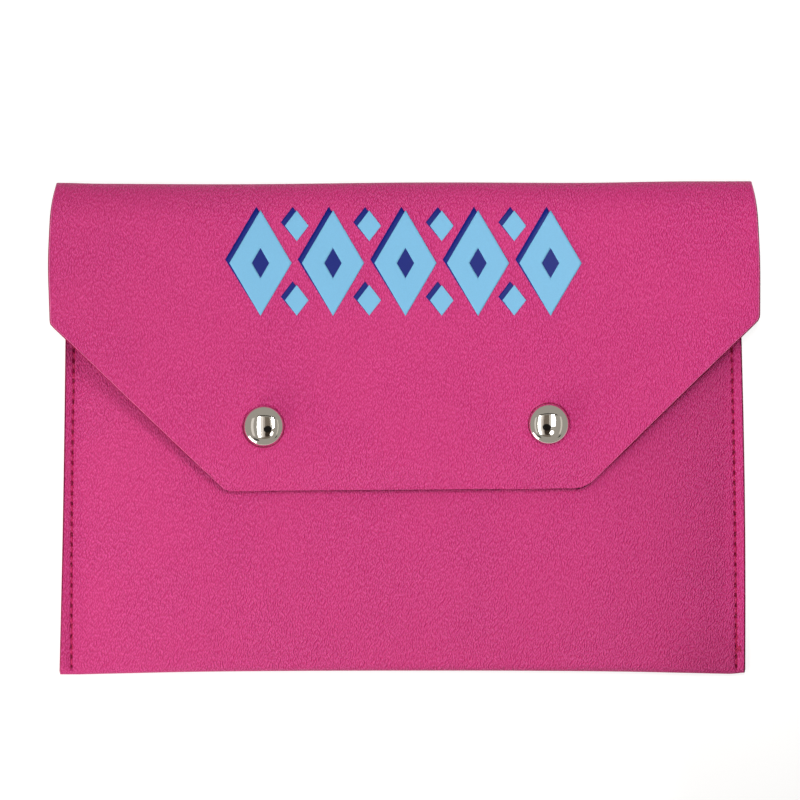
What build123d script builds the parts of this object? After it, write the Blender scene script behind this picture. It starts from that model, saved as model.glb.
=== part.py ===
# Envelope pouch for game cards, folded from one sheet of coated leathercloth.
# The pouch lies on its back: +X is to the right, +Y towards the top fold, +Z out of the front.
# The origin is at the middle of the face it rests on. All sizes are in millimetres.
import os
from math import acos, asin, cos, pi, radians, sin, sqrt

from build123d import *

# Sheet
sheet = 1.2                    # thickness of the coated cloth
pouch_height = 153.4           # from the bottom fold to the top fold
seam_gap = 0.1                 # left between the two layers where they are sewn flat

# Pocket
pocket_half_top = 105.6        # half width at the mouth
pocket_half_bottom = 107.0     # half width at the bottom corners
taper_top_y = 30.0             # above this line the sides run straight
mouth_y = 62.0                 # top edge of the front panel, hidden by the flap
pocket_depth_inside = 7.0      # free height inside the filled pocket
flat_half_width = 56.0         # the filled front is flat between these two lines
puff_half_width = 101.0        # the puff ends here, just inside the stitches
puff_power = 2.2               # how suddenly the puff drops to the side seams
puff_stations = (flat_half_width, 67.0, 78.0, 87.0, 94.5, puff_half_width)
flat_bottom_y = -8.0           # below this line the front falls to the bottom fold
fold_inner_radius = 1.3        # bottom fold, in the middle of the pouch
fold_slope = 8.0               # degrees, slope of the front where it leaves the bottom fold
fold_draw_in = 1.1             # the puff draws the middle of the bottom edge in this much
fold_split_y = -68.0           # the bottom fold is its own node below this line

# Top fold and flap
flap_top_z = 14.0              # outer face of the closed flap, and twice the fold's radius
fold_half_back = 107.6         # half width of the sheet where the back meets the top fold
fold_half_top = 108.6          # half width at the top edge of the closed pouch
flap_half_shoulder = 110.2     # half width where the fold turns into the flat flap
flap_half = 111.25             # half width of the flap, at its widest
flare_end_y = 50.0             # the flap has its full width below this line
flare_start = (0.3, -1.0)      # direction of the right edge where it leaves the top fold
left_shoulder_y = 32.7         # where the left side turns into the diagonal
right_shoulder_y = 34.2
left_tip = (-56.7, -19.5)      # bottom corners of the flap
right_tip = (57.7, -18.9)
left_shoulder_radius = 5.0
right_shoulder_radius = 8.0
tip_radius = 5.5
droop_start_y = -6.0           # below the snaps the flap bends down to the pocket
droop_radius = 65.0
crease_from = 45.0             # degrees round the fold, where the creased strip starts
crease_to = 135.0

# Side seams
seam_top = (102.9, 59.5)       # topmost needle hole of the right seam
seam_bottom = (103.95, -74.4)  # lowest needle hole
stitch_pitch = 3.2
thread_radius = 0.2
leg_radius = 0.19              # thread where it dives through a needle hole
hole_radius = 0.35
groove_depth = 0.55            # the thread is pulled this deep into the soft cloth
groove_width = 0.8
thread_sink = 0.04             # crown of a stitch below the face of the cloth
stitch_rise = 0.164            # rise of a stitch between its two holes

# Snap fasteners
left_snap = (-43.7, 0.8)
right_snap = (45.2, 1.4)
cap_radius = 6.25
cap_height = 3.6
metal = 0.35                   # wall of the pressed cap
cap_edge = 0.55                # radius of the rounded edge under the dome
cap_lip_radius = 5.2           # the edge of the cap is turned in to here
shank_radius = 1.5             # tube of the cap's rivet
shank_bore = 1.1
shank_lip_radius = 2.1         # its end is rolled out under the socket's plate
shank_lip = 0.3
rivet_disc_radius = 5.6        # held under the dome by the cap's lip
socket_radius = 5.3
socket_height = 2.6
socket_barrel_radius = 3.5
socket_bore = 2.4
socket_groove = 3.05           # radius of the groove that holds the ring spring
groove_low = 0.65              # height of the groove's ledge above the socket's mouth
groove_high = 1.2
plate = 0.4                    # thickness of the socket's top plate
spring_wire = 0.22
spring_radius = 2.4
spring_arc = 320.0             # degrees, the ring is open
stud_radius = 5.1
stud_base = 0.7
stud_height = 2.5
stud_neck = 1.95
stud_bulb = 2.25
bulb_height = 0.7
bulb_taper = 0.2               # height over which the neck runs into the bulb, and into the foot
stud_bore = 1.6
post_radius = 5.0
post_flange = 0.6
post_tube = 1.3
post_bore = 0.9
post_lip_radius = 1.55
post_lip = 0.35
fit = 0.05                     # radial play of a tube in its hole

margin = 1.0                   # how far a cutting shape reaches past the cloth

# Printed film ornament on the flap: a row of lozenges
film = 0.06
lozenge_count = 5
lozenge_pitch = 22.6
lozenge_width = 19.4
lozenge_height = 33.0
window_width = 5.4             # small window in each large face, open to the shade
window_height = 9.4
accent_width = 7.4             # small lozenges in the notches of the row
accent_height = 9.6
accent_offset = 11.6           # above and below the middle of the row
ornament_x = 0.5
ornament_y = 51.6
shade_shift = (-1.3, 1.1)      # the dark shade stands up and to the left

# Worked out from the sizes above
half_height = pouch_height / 2
fold_radius = flap_top_z / 2
fold_centre_y = half_height - fold_radius
front_face_z = pocket_depth_inside + 2 * sheet
flap_under_z = flap_top_z - sheet
seam_mid_z = sheet + seam_gap / 2
seam_face_z = 2 * sheet + seam_gap
seam_inner_radius = seam_gap / 2
stud_face_z = front_face_z + stud_base
socket_low_z = flap_under_z - socket_height
stud_top_z = front_face_z + stud_height

os.makedirs("parts", exist_ok=True)


def seam_length():
    """Length of a side seam, from its first needle hole to its last."""
    return sqrt((seam_top[0] - seam_bottom[0]) ** 2 + (seam_top[1] - seam_bottom[1]) ** 2)


stitch_count = round(seam_length() / stitch_pitch)
pitch = seam_length() / stitch_count


# The sheet
def fold_point(radius, angle):
    """A point of the top fold in the YZ plane; the angle runs from the back over the top."""
    return (
        fold_centre_y + radius * sin(radians(angle)),
        fold_radius - radius * cos(radians(angle)),
    )


def fold_sector(start, end):
    """Face of the folded sheet between two angles."""
    middle = (start + end) / 2
    inner = fold_radius - sheet
    with BuildSketch() as profile:
        with BuildLine():
            ThreePointArc(*[fold_point(fold_radius, a) for a in (start, middle, end)])
            Line(fold_point(fold_radius, end), fold_point(inner, end))
            ThreePointArc(*[fold_point(inner, a) for a in (end, middle, start)])
            Line(fold_point(inner, start), fold_point(fold_radius, start))
        make_face()
    return profile.sketch


def flap_outline():
    """Plan of the flap, from above the top fold down to its bottom edge."""
    with BuildSketch() as profile:
        with BuildLine():
            right_side = Spline(
                (fold_half_top, half_height),
                (flap_half_shoulder, fold_centre_y),
                (flap_half, flare_end_y),
                tangents=[flare_start, (0, -1)],
            )
            FilletPolyline(
                right_side @ 1,
                (flap_half, right_shoulder_y),
                right_tip,
                left_tip,
                (-flap_half, left_shoulder_y),
                (-flap_half, flare_end_y),
                radius=[right_shoulder_radius, tip_radius, tip_radius, left_shoulder_radius],
            )
            left_side = Spline(
                (-flap_half, flare_end_y),
                (-flap_half_shoulder, fold_centre_y),
                (-fold_half_top, half_height),
                tangents=[(0, 1), (flare_start[0], -flare_start[1])],
            )
            Polyline(
                left_side @ 1,
                (-fold_half_top, half_height + margin),
                (fold_half_top, half_height + margin),
                right_side @ 0,
            )
        make_face()
    return profile.sketch


def back_outline():
    """Plan of the back, from the bottom fold up into the lower half of the top fold."""
    with BuildSketch() as profile:
        with BuildLine():
            Polyline(
                (pocket_half_bottom, -half_height - margin),
                (pocket_half_bottom, -half_height),
                (pocket_half_top, taper_top_y),
                (pocket_half_top, mouth_y),
                (fold_half_back, fold_centre_y),
                (fold_half_top, half_height),
                (fold_half_top, half_height + margin),
                (0, half_height + margin),
            )
            mirror(about=Plane.YZ)
            Line(
                (-pocket_half_bottom, -half_height - margin),
                (pocket_half_bottom, -half_height - margin),
            )
        make_face()
    return profile.sketch


def flap_section():
    """Face of the flap in the YZ plane, from the creased strip to past its bottom edge."""
    inner = fold_radius - sheet
    fold_end = (crease_to + 180) / 2
    turn = asin((droop_start_y - left_tip[1] + margin) / droop_radius)

    def droop(depth, angle):
        reach = droop_radius - depth
        return (
            droop_start_y - reach * sin(angle),
            flap_top_z - droop_radius + reach * cos(angle),
        )

    with BuildSketch() as profile:
        with BuildLine():
            ThreePointArc(*[fold_point(fold_radius, a) for a in (crease_to, fold_end, 180)])
            Line(fold_point(fold_radius, 180), droop(0, 0))
            ThreePointArc(droop(0, 0), droop(0, turn / 2), droop(0, turn))
            Line(droop(0, turn), droop(sheet, turn))
            ThreePointArc(droop(sheet, turn), droop(sheet, turn / 2), droop(sheet, 0))
            Line(droop(sheet, 0), fold_point(inner, 180))
            ThreePointArc(*[fold_point(inner, a) for a in (180, fold_end, crease_to)])
            Line(fold_point(inner, crease_to), fold_point(fold_radius, crease_to))
        make_face()
    return profile.sketch


def puff(x):
    """Share of the full puff at a distance x from the middle, from 1 down to 0 at the seam."""
    reach = (abs(x) - flat_half_width) / (puff_half_width - flat_half_width)
    return 1 - max(0.0, min(1.0, reach)) ** puff_power


def pocket_section(x):
    """Face of the sheet from the mouth round the bottom fold to the back, at x."""
    share = puff(x)
    inner = seam_inner_radius + (fold_inner_radius - seam_inner_radius) * share
    outer = inner + sheet
    top = seam_face_z + (front_face_z - seam_face_z) * share
    centre = -half_height + fold_draw_in * share + outer
    slope = radians(fold_slope * share)
    leave = (cos(slope), sin(slope))

    def fold(radius, angle):
        return (centre - radius * sin(angle), outer - radius * cos(angle))

    with BuildSketch() as profile:
        with BuildLine():
            Line((fold_split_y, 0), fold(outer, 0))
            ThreePointArc(fold(outer, 0), fold(outer, pi / 2), fold(outer, pi - slope))
            Spline(fold(outer, pi - slope), (flat_bottom_y, top), tangents=[leave, (1, 0)])
            Polyline((flat_bottom_y, top), (mouth_y, top), (mouth_y, top - sheet),
                     (flat_bottom_y, top - sheet))
            Spline(fold(inner, pi - slope), (flat_bottom_y, top - sheet), tangents=[leave, (1, 0)])
            ThreePointArc(fold(inner, pi - slope), fold(inner, pi / 2), fold(inner, 0))
            Polyline(fold(inner, 0), (fold_split_y, sheet), (fold_split_y, 0))
        make_face()
    return profile.sketch


# Side seams: needle holes, and the groove that the tight thread presses into both faces
def seam_plane(side):
    """Upright plane along a seam, with its origin at the lowest needle hole."""
    along = (side * (seam_top[0] - seam_bottom[0]), seam_top[1] - seam_bottom[1], 0)
    return Plane(
        origin=(side * seam_bottom[0], seam_bottom[1], 0),
        x_dir=along,
        z_dir=(along[1], -along[0], 0),
    )


def hole_locations(side):
    """Places of the needle holes of one seam, from the bottom up."""
    run = seam_plane(side)
    return [Location(run.origin + run.x_dir * index * pitch) for index in range(stitch_count + 1)]


with BuildPart() as needle_holes:
    with Locations(*hole_locations(-1), *hole_locations(1)):
        Cylinder(hole_radius, 3 * seam_face_z)

with BuildPart() as seam_grooves:
    for side in (-1, 1):
        run = seam_plane(side)
        for level in (groove_depth - margin, seam_face_z - groove_depth):
            level_plane = Plane(run.origin + Vector(0, 0, level), x_dir=run.x_dir, z_dir=(0, 0, 1))
            with BuildSketch(level_plane):
                with Locations((seam_length() / 2, 0)):
                    SlotCenterToCenter(seam_length(), groove_width)
            extrude(amount=margin)


# The sheet, cut into the nodes that it bends between
with BuildPart() as pocket_sheet:
    with BuildSketch(Plane.YZ):
        add(pocket_section(0))
    extrude(amount=flat_half_width, both=True)
    for side in (-1, 1):
        with BuildPart(mode=Mode.PRIVATE) as puffed_side:
            for x in puff_stations:
                with BuildSketch(Plane.YZ.offset(side * x)):
                    add(pocket_section(x))
            loft()
            with BuildSketch(Plane.YZ.offset(side * puff_half_width)):
                add(pocket_section(puff_half_width))
            extrude(amount=side * (pocket_half_bottom - puff_half_width + margin))
        add(puffed_side.part)
    with BuildSketch(Plane.XY.offset(-margin)):
        add(back_outline())
    extrude(amount=front_face_z + 2 * margin, mode=Mode.INTERSECT)
    add(needle_holes.part, mode=Mode.SUBTRACT)
    add(seam_grooves.part, mode=Mode.SUBTRACT)

with BuildPart() as front_panel:
    add(pocket_sheet.part)
    split(bisect_by=Plane.XZ.offset(-fold_split_y), keep=Keep.BOTTOM)
    with Locations((*left_snap, front_face_z), (*right_snap, front_face_z)):
        Cylinder(post_tube + fit, 3 * sheet, mode=Mode.SUBTRACT)
front_panel.part.label = "front_panel"
export_step(front_panel.part, "parts/front_panel.step")

with BuildPart() as bottom_fold:
    add(pocket_sheet.part)
    split(bisect_by=Plane.XZ.offset(-fold_split_y), keep=Keep.TOP)
bottom_fold.part.label = "bottom_fold"
export_step(bottom_fold.part, "parts/bottom_fold.step")

with BuildPart() as back_panel:
    with BuildSketch(Plane.YZ):
        with BuildLine():
            Line((fold_split_y, 0), fold_point(fold_radius, 0))
            ThreePointArc(*[fold_point(fold_radius, a) for a in (0, crease_from / 2, crease_from)])
            Line(fold_point(fold_radius, crease_from), fold_point(fold_radius - sheet, crease_from))
            ThreePointArc(
                *[fold_point(fold_radius - sheet, a) for a in (crease_from, crease_from / 2, 0)]
            )
            Polyline(fold_point(fold_radius - sheet, 0), (fold_split_y, sheet), (fold_split_y, 0))
        make_face()
    extrude(amount=flap_half, both=True)
    with BuildSketch(Plane.XY.offset(-margin)):
        add(back_outline())
    extrude(amount=fold_radius, mode=Mode.INTERSECT)
    add(needle_holes.part, mode=Mode.SUBTRACT)
    add(seam_grooves.part, mode=Mode.SUBTRACT)
back_panel.part.label = "back_panel"
export_step(back_panel.part, "parts/back_panel.step")

with BuildPart() as crease_over:
    with BuildSketch(Plane.YZ):
        add(fold_sector(90, crease_to))
    extrude(amount=flap_half, both=True)
    with BuildSketch(Plane.XY):
        add(flap_outline())
    extrude(amount=flap_top_z, mode=Mode.INTERSECT)

with BuildPart() as flap_crease:
    with BuildSketch(Plane.YZ):
        add(fold_sector(crease_from, 90))
    extrude(amount=flap_half, both=True)
    with BuildSketch(Plane.XY):
        add(back_outline())
    extrude(amount=flap_top_z, mode=Mode.INTERSECT)
    add(crease_over.part)
flap_crease.part.label = "flap_crease"
export_step(flap_crease.part, "parts/flap_crease.step")

with BuildPart() as flap:
    with BuildSketch(Plane.YZ):
        add(flap_section())
    extrude(amount=flap_half + margin, both=True)
    with BuildSketch(Plane.XY):
        add(flap_outline())
    extrude(amount=flap_top_z + margin, mode=Mode.INTERSECT)
    with Locations((*left_snap, flap_top_z), (*right_snap, flap_top_z)):
        Cylinder(shank_radius + fit, 3 * sheet, mode=Mode.SUBTRACT)
flap.part.label = "flap"
export_step(flap.part, "parts/flap.step")


# Lockstitch threads: the needle thread in front and the bobbin thread behind meet in the seam
crown_z = seam_face_z - thread_sink - thread_radius
hole_z = crown_z - stitch_rise

for side, name in ((-1, "left"), (1, "right")):
    run = seam_plane(side)

    with BuildPart() as stitch:
        with BuildLine(run) as arch:
            ThreePointArc((0, hole_z), (pitch / 2, crown_z), (pitch, hole_z))
        with BuildSketch(Plane(arch.line @ 0, z_dir=arch.line % 0)):
            Circle(thread_radius)
        sweep()

    with BuildPart() as leg:
        with BuildSketch(Plane.XY.offset(seam_mid_z)):
            Circle(leg_radius)
        extrude(amount=hole_z + thread_radius / 2 - seam_mid_z)

    with BuildPart() as needle_thread:
        with Locations(*[Location(run.x_dir * index * pitch) for index in range(stitch_count)]):
            add(stitch.part)
        with Locations(*hole_locations(side)):
            add(leg.part)
    needle_thread.part.label = f"{name}_needle_thread"
    export_step(needle_thread.part, f"parts/{name}_needle_thread.step")

    with BuildPart() as bobbin_thread:
        mirror(needle_thread.part, about=Plane.XY.offset(seam_mid_z))
    bobbin_thread.part.label = f"{name}_bobbin_thread"
    export_step(bobbin_thread.part, f"parts/{name}_bobbin_thread.step")


# Snap fasteners: cap, rivet, socket and ring spring on the flap, stud and post on the front
dome_rise = cap_height - cap_edge
dome_radius = (cap_radius ** 2 + dome_rise ** 2) / (2 * dome_rise)
dome_centre_z = flap_top_z + cap_height - dome_radius
rivet_seat_z = flap_top_z + metal
socket_plate_z = flap_under_z - plate


def dome_point(depth, angle):
    """A point of the cap's dome, at a depth under its outside and an angle from its top."""
    reach = dome_radius - depth
    return (reach * sin(angle), dome_centre_z + reach * cos(angle))


for name, place in (("left", left_snap), ("right", right_snap)):
    upright = Plane(origin=(*place, 0), x_dir=(1, 0, 0), z_dir=(0, -1, 0))
    snap_axis = Axis((*place, 0), (0, 0, 1))

    with BuildPart() as cap_shell:
        outer_angle = asin(cap_radius / dome_radius)
        inner_angle = acos((rivet_seat_z - dome_centre_z) / (dome_radius - metal))
        with BuildSketch(upright):
            with BuildLine():
                ThreePointArc(*[dome_point(0, outer_angle * share) for share in (0, 0.5, 1)])
                edge = CenterArc((cap_radius - cap_edge, flap_top_z + cap_edge), cap_edge, 0, -90)
                Polyline(
                    edge @ 1,
                    (cap_lip_radius, flap_top_z),
                    (cap_lip_radius, rivet_seat_z),
                    dome_point(metal, inner_angle),
                )
                ThreePointArc(*[dome_point(metal, inner_angle * share) for share in (1, 0.5, 0)])
                Line(dome_point(metal, 0), dome_point(0, 0))
            make_face()
        revolve(axis=snap_axis)
    cap_shell.part.label = f"{name}_cap_shell"
    export_step(cap_shell.part, f"parts/{name}_cap_shell.step")

    with BuildPart() as cap_rivet:
        with BuildSketch(upright):
            with BuildLine():
                Polyline(
                    (shank_bore, rivet_seat_z + metal),
                    (rivet_disc_radius, rivet_seat_z + metal),
                    (rivet_disc_radius, rivet_seat_z),
                    (shank_radius, rivet_seat_z),
                    (shank_radius, socket_plate_z),
                    (shank_lip_radius, socket_plate_z),
                    (shank_lip_radius, socket_plate_z - shank_lip),
                    (shank_bore, socket_plate_z - shank_lip),
                    close=True,
                )
            make_face()
        revolve(axis=snap_axis)
    cap_rivet.part.label = f"{name}_cap_rivet"
    export_step(cap_rivet.part, f"parts/{name}_cap_rivet.step")

    with BuildPart() as socket:
        with BuildSketch(upright):
            with BuildLine():
                Polyline(
                    (shank_radius + fit, flap_under_z),
                    (socket_radius, flap_under_z),
                    (socket_radius, socket_plate_z - shank_lip),
                    (socket_radius - plate, socket_plate_z - shank_lip),
                    (socket_radius - plate, socket_plate_z),
                    (socket_barrel_radius, socket_plate_z),
                    (socket_barrel_radius, socket_low_z),
                    (socket_bore, socket_low_z),
                    (socket_bore, socket_low_z + groove_low),
                    (socket_groove, socket_low_z + groove_low),
                    (socket_groove, socket_low_z + groove_high),
                    (socket_bore, socket_low_z + groove_high),
                    (socket_bore, socket_plate_z),
                    (shank_radius + fit, socket_plate_z),
                    close=True,
                )
            make_face()
        revolve(axis=snap_axis)
    socket.part.label = f"{name}_socket"
    export_step(socket.part, f"parts/{name}_socket.step")

    with BuildPart() as ring_spring:
        with BuildSketch(upright):
            with Locations((spring_radius, socket_low_z + groove_low + spring_wire)):
                Circle(spring_wire)
        revolve(axis=snap_axis, revolution_arc=spring_arc)
    ring_spring.part.label = f"{name}_ring_spring"
    export_step(ring_spring.part, f"parts/{name}_ring_spring.step")

    with BuildPart() as stud:
        with BuildSketch(upright):
            with BuildLine():
                Polyline(
                    (post_tube + fit, front_face_z),
                    (stud_radius, front_face_z),
                    (stud_radius, front_face_z + stud_base / 2),
                    (stud_radius - stud_base / 2, stud_face_z),
                    (stud_bulb, stud_face_z),
                    (stud_neck, stud_face_z + bulb_taper),
                    (stud_neck, stud_top_z - bulb_height),
                    (stud_bulb, stud_top_z - bulb_height + bulb_taper),
                    (stud_bulb, stud_top_z - stud_bulb + stud_neck),
                    (stud_neck, stud_top_z),
                    (stud_bore, stud_top_z),
                    (stud_bore, front_face_z + plate),
                    (post_tube + fit, front_face_z + plate),
                    close=True,
                )
            make_face()
        revolve(axis=snap_axis)
    stud.part.label = f"{name}_stud"
    export_step(stud.part, f"parts/{name}_stud.step")

    with BuildPart() as post:
        with BuildSketch(upright):
            with BuildLine():
                Polyline(
                    (post_bore, front_face_z - sheet - post_flange),
                    (post_radius, front_face_z - sheet - post_flange),
                    (post_radius, front_face_z - sheet),
                    (post_tube, front_face_z - sheet),
                    (post_tube, front_face_z + plate),
                    (post_lip_radius, front_face_z + plate),
                    (post_lip_radius, front_face_z + plate + post_lip),
                    (post_bore, front_face_z + plate + post_lip),
                    close=True,
                )
            make_face()
        revolve(axis=snap_axis)
    post.part.label = f"{name}_post"
    export_step(post.part, f"parts/{name}_post.step")


# Ornament of thin film: a dark shade under a light face, in each lozenge
def lozenge(width, height):
    """Flat lozenge about its own middle."""
    with BuildSketch() as shape:
        with BuildLine():
            Polyline((-width / 2, 0), (0, height / 2), (width / 2, 0), (0, -height / 2), close=True)
        make_face()
    return shape.sketch


def lozenge_shade(width, height):
    """Lozenge drawn out towards its shade."""
    with BuildSketch() as shape:
        with Locations((0, 0), shade_shift):
            add(lozenge(width, height))
        make_hull()
    return shape.sketch


with BuildPart() as ornament_shade:
    with BuildSketch(Plane((ornament_x, ornament_y, flap_top_z))):
        with GridLocations(lozenge_pitch, 0, lozenge_count, 1):
            add(lozenge_shade(lozenge_width, lozenge_height))
        with GridLocations(lozenge_pitch, 2 * accent_offset, lozenge_count - 1, 2):
            add(lozenge_shade(accent_width, accent_height))
    extrude(amount=film)
ornament_shade.part.label = "ornament_shade"
export_step(ornament_shade.part, "parts/ornament_shade.step")

with BuildPart() as ornament_face:
    with BuildSketch(Plane((ornament_x, ornament_y, flap_top_z + film))):
        with GridLocations(lozenge_pitch, 0, lozenge_count, 1):
            add(lozenge(lozenge_width, lozenge_height))
            add(lozenge(window_width, window_height), mode=Mode.SUBTRACT)
        with GridLocations(lozenge_pitch, 2 * accent_offset, lozenge_count - 1, 2):
            add(lozenge(accent_width, accent_height))
    extrude(amount=film)
ornament_face.part.label = "ornament_face"
export_step(ornament_face.part, "parts/ornament_face.step")
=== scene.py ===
import math
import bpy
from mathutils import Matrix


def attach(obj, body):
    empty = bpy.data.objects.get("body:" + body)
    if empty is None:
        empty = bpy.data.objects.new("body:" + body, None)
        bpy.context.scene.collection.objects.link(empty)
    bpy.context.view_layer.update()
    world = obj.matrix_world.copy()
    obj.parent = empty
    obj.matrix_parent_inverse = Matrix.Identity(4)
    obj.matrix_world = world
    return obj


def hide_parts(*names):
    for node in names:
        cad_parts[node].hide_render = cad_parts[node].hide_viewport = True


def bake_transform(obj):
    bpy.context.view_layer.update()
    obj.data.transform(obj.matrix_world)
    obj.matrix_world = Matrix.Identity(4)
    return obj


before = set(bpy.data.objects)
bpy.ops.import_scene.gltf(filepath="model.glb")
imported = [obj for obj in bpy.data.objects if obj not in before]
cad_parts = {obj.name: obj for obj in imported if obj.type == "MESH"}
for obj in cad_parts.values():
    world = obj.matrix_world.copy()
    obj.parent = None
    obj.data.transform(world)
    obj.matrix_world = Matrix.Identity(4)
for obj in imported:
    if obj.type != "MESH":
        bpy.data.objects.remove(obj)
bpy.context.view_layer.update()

from types import SimpleNamespace

import bpy
import numpy as np
from bpy.props import FloatProperty, FloatVectorProperty, IntProperty, PointerProperty, StringProperty
from mathutils import Vector

bl_info = {
    "name": "Envelope card pouch",
    "version": (1, 0, 0),
    "blender": (4, 5, 0),
    "location": "View3D > Sidebar > Pouch",
    "description": "Builds the looks of a leathercloth card pouch around its packed frame",
    "category": "Object",
}

# Shapes are worked out in millimetres and put into metres when a mesh is made
MM = 0.001
X, Y, Z = 0, 1, 2
# Tint of the tent's cloth and of the world
WARM_WHITE = (1.0, 0.97, 0.94)


def length(name, millimetres, text):
    """A length that a user may change, given in millimetres and kept in metres."""
    return FloatProperty(name=name, description=text, default=millimetres * MM, precision=5,
                         subtype="DISTANCE", unit="LENGTH")


def place(name, millimetres, text):
    """A point in plan that a user may change."""
    return FloatVectorProperty(name=name, description=text, size=2, precision=5,
                               default=[value * MM for value in millimetres],
                               subtype="TRANSLATION", unit="LENGTH")


def share(name, value, text):
    """A plain number that a user may change."""
    return FloatProperty(name=name, description=text, default=value, precision=4)


def colour(name, value, text):
    """A colour that a user may change, as an sRGB hex value."""
    return StringProperty(name=name, description=text, default=value)


class PouchCloth(bpy.types.PropertyGroup):
    thickness: length("Thickness", 1.2, "Thickness of the coated cloth")
    cut_slant: length("Cut slant", 0.42, "How far the blade's cut leans out through the cloth")
    grain_width: length("Grain width", 0.42, "Width of one pebble of the embossed grain")
    grain_stretch: share("Grain stretch", 0.42, "Width of a pebble over its length")
    grain_depth: length("Grain depth", 0.1, "Height of a pebble")
    coat: colour("Coat", "#F057A6", "Polyurethane coat")
    # The valley colour is painted shade in the hollows of the grain
    coat_valley_shade: colour("Coat in the grain", "#C41D6C", "Coat in the valleys of the grain")
    # The pale edge colour is partly rubbed coat and partly a painted highlight on the rounded cut
    # edge
    coat_worn_and_highlit: colour("Worn coat", "#EC74A8", "Coat that is rubbed pale along the cut edges")
    # The needle-hole colour is painted shade, the darkness of the holes' own shadow
    coat_pit_shade: colour("Coat in a needle hole", "#84062F", "Coat where a needle hole shades it")
    knit: colour("Knit", "#93405F", "Knitted backing")
    cut: colour("Cut edge", "#A81C50", "Dark foam that shows along a cut")


class PouchPocket(bpy.types.PropertyGroup):
    half_height: length("Half height", 76.7, "From the middle to the top or bottom edge")
    mouth_halves: place("Halves at the mouth", (105.7, 105.4), "Left and right half widths")
    foot_halves: place("Halves at the foot", (107.6, 106.6), "Left and right half widths")
    bows: place("Bows", (-0.22, 0.5), "How far the left and the right edge bow out half way down")
    skew: share("Skew", 0.0008, "How much the bottom edge rises to the right")
    taper_top: length("Taper top", 30.0, "The sides run straight above this line")
    mouth: length("Mouth", 62.0, "Top edge of the front, under the flap")
    depth: length("Depth inside", 7.0, "Free height inside the filled pocket")
    flat_half: length("Flat half width", 56.0, "The filled front is flat between these lines")
    puff_half: length("Puff half width", 101.0, "The puff ends here")
    puff_power: share("Puff power", 2.2, "How suddenly the puff drops to the seams")
    flat_bottom: length("Flat bottom", -8.0, "Below this line the front falls to the fold")
    fold_inner: length("Bottom fold radius", 1.3, "Inside radius of the bottom fold")
    fold_slope: share("Bottom fold slope", 8.0, "Slope of the front at the fold, in degrees")
    draw_in: length("Draw in", 1.1, "How far the filled pouch draws its bottom edge in")
    split: length("Split", -68.0, "The front piece ends here, under the pouch")
    sway: length("Sway", 0.22, "Height of the soft waves in the front")


class PouchSeam(bpy.types.PropertyGroup):
    gap: length("Gap", 0.1, "Left between the two layers where they are sewn")
    top: place("Top hole", (102.7, 59.5), "Topmost needle hole of a seam")
    right_in: length("Right lean", 0.9, "How much further in the top of the right seam is")
    bottom: place("Bottom hole", (103.8, -74.4), "Lowest needle hole")
    bow: length("Bow", 0.28, "How far the lower part of a seam bows out")
    count: IntProperty(name="Stitches", description="Stitches in each seam", default=42)
    thread: length("Thread radius", 0.24, "Radius of the sewing thread")
    sink: length("Sink", 1.05, "How deep the thread dives at a needle hole")
    lift: length("Edge lift", 0.4, "How far the layers spring apart at the cut edge")
    valley: length("Valley", 0.34, "Depth of the wide dip that the tight thread makes")
    groove: length("Groove", 0.3, "Depth of the narrow groove under the thread")
    pit: length("Pit", 0.5, "Depth of a needle hole's mouth")
    tack_shift: length("Tack shift", 0.3, "How far beside its seam the back-tack is sewn")
    knot: place("Knot", (104.6, -68.6), "Knot at the end of the right needle thread")
    lip: length("Lip", 0.15, "Height of the lip that the presser foot pushes up beside the groove")
    colour: colour("Thread", "#C4245C", "Bonded polyester sewing thread")
    # The deep colour is painted shade for the thread down in a needle hole
    thread_hole_shade: colour("Thread in a hole", "#84062F", "The same thread, down in a needle hole")


class PouchFlap(bpy.types.PropertyGroup):
    top: length("Top", 14.0, "Height of the closed flap's face")
    fold_reach: length("Fold reach", 12.0, "How far the top fold rounds over on to the flap")
    half_back: length("Half width at the back", 107.6, "Where the back meets the top fold")
    half_top: length("Half width at the top", 108.6, "At the top edge of the closed pouch")
    half_shoulder: length("Half width at the fold", 110.2, "Where the fold turns into the flap")
    half: length("Half width", 111.1, "The flap at its widest")
    flare_end: length("Flare end", 51.5, "The flap has its full width at this line")
    left_shoulder: place("Left shoulder", (-110.4, 32.5), "Where the left side turns inwards")
    right_shoulder: place("Right shoulder", (111.0, 34.1), "Where the right side does")
    left_tip: place("Left tip", (-55.4, -19.9), "Bottom left corner of the flap")
    right_tip: place("Right tip", (56.7, -19.0), "Bottom right corner")
    left_round: length("Left rounding", 2.0, "Radius of the left shoulder")
    right_round: length("Right rounding", 3.5, "Radius of the right shoulder")
    left_tip_round: length("Left tip rounding", 2.8, "Radius of the bottom left corner")
    right_tip_round: length("Right tip rounding", 9.0, "Radius of the bottom right corner")
    droop_start: length("Droop start", -6.0, "The flap bends down below this line")
    droop_radius: length("Droop radius", 41.0, "Radius of that bend")
    curl: length("Curl", 0.4, "How far the side wings of the flap curl up")
    sway: length("Sway", 0.3, "Height of the soft waves in the flap")


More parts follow.
